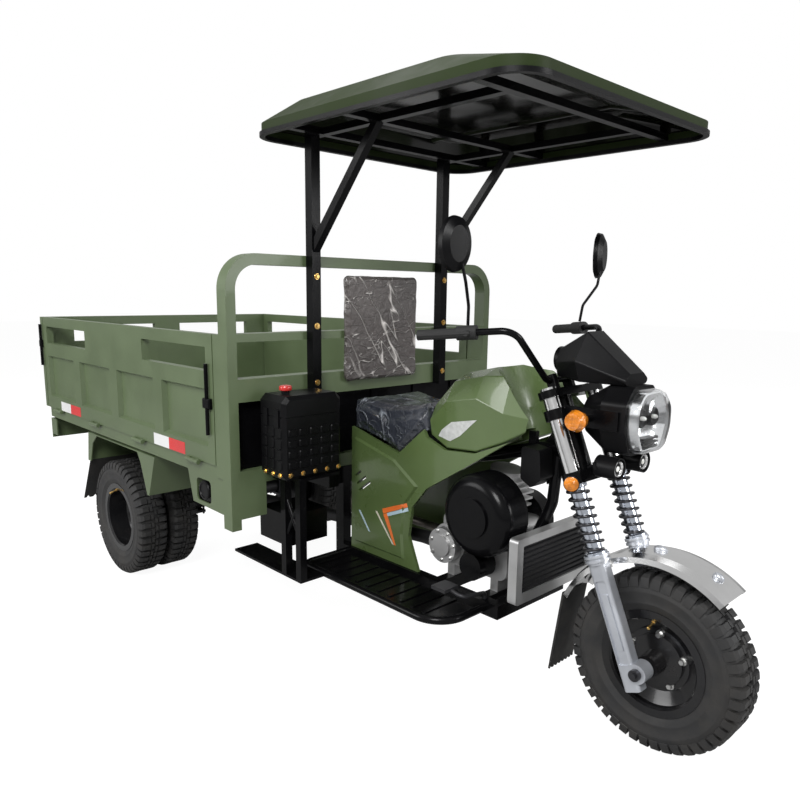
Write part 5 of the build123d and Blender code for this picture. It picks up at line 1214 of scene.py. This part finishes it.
# Turns that make a part on z face ahead or to the right, and where bolts and studs sit
FACE_AHEAD = (0.0, math.pi / 2, 0.0)
FACE_RIGHT = (math.pi / 2, 0.0, 0.0)
POST_BOLT_SIDE = 0.355
POST_BOLT_LEVELS = (1.059, 1.278, 1.465)
BOX_BOLT_LEVEL = 0.752
BOX_STUD_LEVELS = (0.788, 0.828, 0.868, 0.908)
BOX_BOLTS_X, BOX_BOLTS_Y = (0.260, 0.310, 0.355), (-0.59, -0.535, -0.48, -0.425, -0.37)
BOX_STUDS_X, BOX_STUDS_Y = (0.262, 0.308, 0.354), (-0.580, -0.532, -0.484, -0.436, -0.388)
BOX_CAP_PLACE = (0.305, -0.555)


def box_front(y, z):
    """Point on the tool box's front."""
    return face_at("toolbox", (1.5, y, z), (-1, 0, 0))


def box_side(x, z):
    """Point on the tool box's right side."""
    return face_at("toolbox", (x, -2.0, z), (0, 1, 0))


class TRICYCLE_OT_bolts(bpy.types.Operator):
    """Plated bolts on the canopy posts and beside the tool box"""

    bl_idname = "tricycle.bolts"
    bl_label = "Plated bolts"

    def execute(self, context):
        sizes = context.scene.tricycle_sizes
        brass = MADE["plated_brass"]
        head = pattern(bolt_mesh("plated_bolt", sizes.bolt_across, sizes.bolt_across * 1.1))
        posts = [face_at("canopy_frame", (0.6, side * POST_BOLT_SIDE, z), (-1, 0, 0))
                 for side in (-1, 1) for z in POST_BOLT_LEVELS]
        studs("canopy_post_bolts", "frame", head, posts, FACE_AHEAD, brass)
        side = [box_side(x, BOX_BOLT_LEVEL) for x in BOX_BOLTS_X]
        studs("tool_box_side_bolts", "frame", head, side, FACE_RIGHT, brass, 0.8)
        front = [box_front(y, BOX_BOLT_LEVEL) for y in BOX_BOLTS_Y]
        studs("tool_box_front_bolts", "frame", head, front, FACE_AHEAD, brass, 0.8)
        drop_pattern(head)
        return {"FINISHED"}


class TRICYCLE_OT_tool_box(bpy.types.Operator):
    """Pressed studs on the tool box and its red cap"""

    bl_idname = "tricycle.tool_box"
    bl_label = "Tool box"

    def execute(self, context):
        black = MADE["moulded_black"]

        def stud(work):
            outline = [Vector((v, u, -0.0005)) for u, v in rounded(0.020, 0.014, 0.55, 12, 0.5)]
            slab(work, outline, (0, 0, 1), 0.0055, 0.003)
        shape = pattern(closed_mesh("pressed_stud", stud, 30.0))
        front = [box_front(y, z) for z in BOX_STUD_LEVELS for y in BOX_STUDS_Y]
        studs("tool_box_front_studs", "frame", shape, front, FACE_AHEAD, black)
        side = [box_side(x, z) for z in BOX_STUD_LEVELS for x in BOX_STUDS_X]
        studs("tool_box_side_studs", "frame", shape, side, FACE_RIGHT, black)
        drop_pattern(shape)
        top = face_at("toolbox", (*BOX_CAP_PLACE, 2.5), (0, 0, -1))

        def cap(work):
            turned(work, top + Vector((0, 0, -0.012)), (0, 0, 1), [
                (0.0225, 0.0), (0.0235, 0.003), (0.0235, 0.012), (0.021, 0.016), (0.012, 0.018),
                (0.003, 0.0185)], 26)
        red = finish("cap_red", (0.50, 0.02, 0.015), 0.3, coat=0.4, spread=0.1)
        built("tool_box_cap", "frame", cap, red, smooth=35.0)
        return {"FINISHED"}


class TRICYCLE_OT_graphics(bpy.types.Operator):
    """Plain stripes on the side covers and the pale wedge on the tank"""

    bl_idname = "tricycle.graphics"
    bl_label = "Stripes and wedge"

    def execute(self, context):
        tint = context.scene.tricycle_colours
        orange = finish("stripe_orange", tint.stripe, 0.32, coat=0.3, spread=0.12)
        cream = finish("stripe_cream", tint.pale_stripe, 0.32, coat=0.3, spread=0.06)
        cool = finish("stripe_cool", tint.cool_stripe, 0.32, coat=0.3, spread=0.06)
        wedge = finish("wedge_pale", (0.50, 0.51, 0.50), 0.35, coat=0.3, spread=0.12, tone=60.0, grain=230.0,
                       cells=1.0, bump=0.002)
        for name, node, material, outlines in (
                ("cover_stripe_upper", "side_covers", orange,
                 [[(0.439, 0.561), (0.445, 0.542), (0.576, 0.597), (0.570, 0.612)]]),
                ("cover_stripe_lower", "side_covers", orange,
                 [[(0.445, 0.540), (0.466, 0.549), (0.519, 0.428), (0.509, 0.428)]]),
                ("cover_stroke_pale", "side_covers", cream,
                 [[(0.397, 0.543), (0.408, 0.543), (0.507, 0.428), (0.499, 0.428)]]),
                ("cover_stroke_cool", "side_covers", cool,
                 [[(0.293, 0.523), (0.305, 0.523), (0.366, 0.446), (0.356, 0.446)],
                  [(0.467, 0.549), (0.472, 0.537), (0.580, 0.582), (0.576, 0.595)]]),
                ("tank_wedge", "fuel_tank", wedge,
                 [[(0.714, 0.897), (0.778, 0.888), (0.826, 0.914), (0.906, 0.983), (0.786, 0.959),
                   (0.733, 0.922)]])):
            decal(name, node, outlines, material)
        return {"FINISHED"}


# Mudguard ornaments: angle round the wheel in degrees, and length
ORNAMENTS = ((94.0, 0.046), (63.6, 0.036))


class TRICYCLE_OT_mudguard_trim(bpy.types.Operator):
    """Small satin ornaments on the front mudguard"""

    bl_idname = "tricycle.mudguard_trim"
    bl_label = "Mudguard ornaments"

    def execute(self, context):
        def build(work):
            for degrees, length in ORNAMENTS:
                angle = math.radians(degrees)
                out = Vector((math.cos(angle), 0.0, math.sin(angle)))
                tangent = Vector((math.sin(angle), 0.0, -math.cos(angle)))
                seat = face_at("front_mudguard", FRONT_AXLE + out * 0.6, -out)
                turned(work, seat - tangent * length / 2 + out * 0.003, tangent, [
                    (0.002, 0.0), (0.008, length * 0.08), (0.0115, length * 0.25), (0.0125, length * 0.45),
                    (0.011, length * 0.68), (0.006, length * 0.9), (0.001, length)], 24)
        built("mudguard_ornaments", "steering", build, MADE["cast_leg_alloy"], smooth=35.0)
        return {"FINISHED"}


RIB_SIDE, RIB_MARGIN, RIB_STEPS = 0.30, 0.09, 24
RIB_SECTION = ((-0.019, 0.001), (-0.012, -0.006), (-0.004, -0.0085), (0.004, -0.0085), (0.012, -0.006),
               (0.019, 0.001))


class TRICYCLE_OT_canopy_ribs(bpy.types.Operator):
    """Moulded ribs under the canopy"""

    bl_idname = "tricycle.canopy_ribs"
    bl_label = "Canopy ribs"

    def execute(self, context):
        skin = surface("canopy_liner")
        low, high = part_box("canopy_liner")

        def build(work):
            for y in (-RIB_SIDE, RIB_SIDE):
                rings = []
                for k in range(RIB_STEPS + 1):
                    x = low[0] + RIB_MARGIN + (high[0] - low[0] - 2 * RIB_MARGIN) * k / RIB_STEPS
                    hit = skin.ray_cast(Vector((x, y, 1.0)), Vector((0, 0, 1)))[0]
                    if hit is not None:
                        rings.append([hit + Vector((0, u, v)) for u, v in RIB_SECTION])
                bridge(work, rings)
        gloss = finish("liner_gloss", (0.003, 0.003, 0.002), 0.12, coat=0.1, spread=0.3, tone=2.5, grain=3.0,
                       bump=0.012, spec=0.25)
        built("canopy_ribs", "frame", build, gloss, smooth=50.0)
        dress(NODES["canopy_liner"].data, gloss)
        return {"FINISHED"}


FIN_SECTION = ((-0.001, -0.0007), (0.004, -0.0007), (0.005, 0.0), (0.004, 0.0007), (-0.001, 0.0007))
FIN_MARGIN, FIN_INSET = 0.003, 0.01


class TRICYCLE_OT_radiator_fins(bpy.types.Operator):
    """Thin fins across the radiator core"""

    bl_idname = "tricycle.radiator_fins"
    bl_label = "Radiator fins"

    def execute(self, context):
        sizes = context.scene.tricycle_sizes
        low, high = (Vector(c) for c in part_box("radiator_core"))
        tall = high.z - low.z
        level = (low.z + high.z) / 2

        def fin(work):
            outline = [Vector((x, y, -tall / 2 + FIN_MARGIN)) for x, y in FIN_SECTION]
            slab(work, outline, (0, 0, 1), tall - 2 * FIN_MARGIN, 0.0005)
        shape = pattern(closed_mesh("radiator_fin", fin, 20.0))
        step = (high.y - low.y - 2 * FIN_INSET) / (sizes.fin_count - 1)
        front = face_at("radiator_core", (high.x + 0.1, 0.003, level), (-1, 0, 0)).x
        points = [Vector((front, low.y + FIN_INSET + step * k, level)) for k in range(sizes.fin_count)]
        fins = finish("fin_metal", (0.025, 0.025, 0.028), 0.4, metal=0.5, spread=0.3, dust=0.08)
        studs("radiator_fins", "frame", shape, points, (0.0, 0.0, 0.0), fins)
        drop_pattern(shape)
        return {"FINISHED"}


CLUTCH_COVER = (0.760, 0.493)
COVER_BOLT_REACH = 0.056
SKIRT_CAP = (-0.034, -0.700, 0.632)


class TRICYCLE_OT_engine_trim(bpy.types.Operator):
    """Bolts round the engine's cover and the round cap in the bed skirt"""

    bl_idname = "tricycle.engine_trim"
    bl_label = "Engine bolts and skirt cap"

    def execute(self, context):
        centre = face_at("engine", (CLUTCH_COVER[0] + 0.055, -0.9, CLUTCH_COVER[1]), (0, 1, 0))
        centre.x = CLUTCH_COVER[0]

        def ring(work):
            turned(work, centre, (0, -1, 0), [
                (0.040, -0.002), (0.040, 0.004), (0.036, 0.006), (0.031, 0.003), (0.010, 0.003),
                (0.008, 0.0045), (0.002, 0.005)], 36)
        obj = built("clutch_cover_trim", "frame", ring, MADE["cast_engine_alloy"], smooth=30.0)
        bolt = bolt_mesh("cover_bolt", 0.0055, 0.009)
        bolt.transform(Matrix.Translation((COVER_BOLT_REACH, 0.0, 0.0)))
        shape = pattern(bolt)
        grow(obj, "ring", block=shape, count=7, radius=0.0, phase=0.2, centre=centre,
             material=MADE["zinc_plate"])
        settle(obj)
        drop_pattern(shape)

        def cap(work):
            x, y, z = SKIRT_CAP
            turned(work, Vector(SKIRT_CAP), (0, -1, 0), [
                (0.034, -0.030), (0.034, 0.004), (0.039, 0.005), (0.040, 0.012), (0.037, 0.016),
                (0.030, 0.017), (0.028, 0.014), (0.006, 0.014)], 32)
            plate = [Vector((x + u, y + 0.028, z + v)) for u, v in oblong(0.070, 0.060)]
            slab(work, plate, (0, -1, 0), 0.004, 0.001)
        built("skirt_cap", "frame", cap, MADE["moulded_black"], smooth=30.0)
        return {"FINISHED"}


STEPS = (
    TRICYCLE_OT_stage, TRICYCLE_OT_paint, TRICYCLE_OT_tyres, TRICYCLE_OT_wheel_trim,
    TRICYCLE_OT_fork_springs, TRICYCLE_OT_pads, TRICYCLE_OT_headlight, TRICYCLE_OT_small_lamps,
    TRICYCLE_OT_mirror_glass, TRICYCLE_OT_bed_tape, TRICYCLE_OT_bolts, TRICYCLE_OT_tool_box,
    TRICYCLE_OT_graphics, TRICYCLE_OT_mudguard_trim, TRICYCLE_OT_canopy_ribs, TRICYCLE_OT_radiator_fins,
    TRICYCLE_OT_engine_trim,
)


class TRICYCLE_PT_panel(bpy.types.Panel):
    """Lists the pieces of the tricycle and their settings"""

    bl_idname = "TRICYCLE_PT_panel"
    bl_label = "Cargo tricycle"
    bl_space_type = "VIEW_3D"
    bl_region_type = "UI"
    bl_category = "Tricycle"

    def draw(self, context):
        layout = self.layout
        for group in (context.scene.tricycle_colours, context.scene.tricycle_sizes):
            for key in group.bl_rna.properties.keys():
                if key not in ("rna_type", "name"):
                    layout.prop(group, key)
        for step in STEPS:
            layout.operator(step.bl_idname)


CLASSES = (TRICYCLE_PG_colours, TRICYCLE_PG_sizes, *STEPS, TRICYCLE_PT_panel)


def register():
    for cls in CLASSES:
        bpy.utils.register_class(cls)
    bpy.types.Scene.tricycle_colours = bpy.props.PointerProperty(type=TRICYCLE_PG_colours)
    bpy.types.Scene.tricycle_sizes = bpy.props.PointerProperty(type=TRICYCLE_PG_sizes)


def unregister():
    del bpy.types.Scene.tricycle_sizes
    del bpy.types.Scene.tricycle_colours
    for cls in reversed(CLASSES):
        bpy.utils.unregister_class(cls)


def main():
    register()
    for step in STEPS:
        getattr(bpy.ops.tricycle, step.bl_idname.split(".")[1])()


if __name__ == "__main__":
    main()
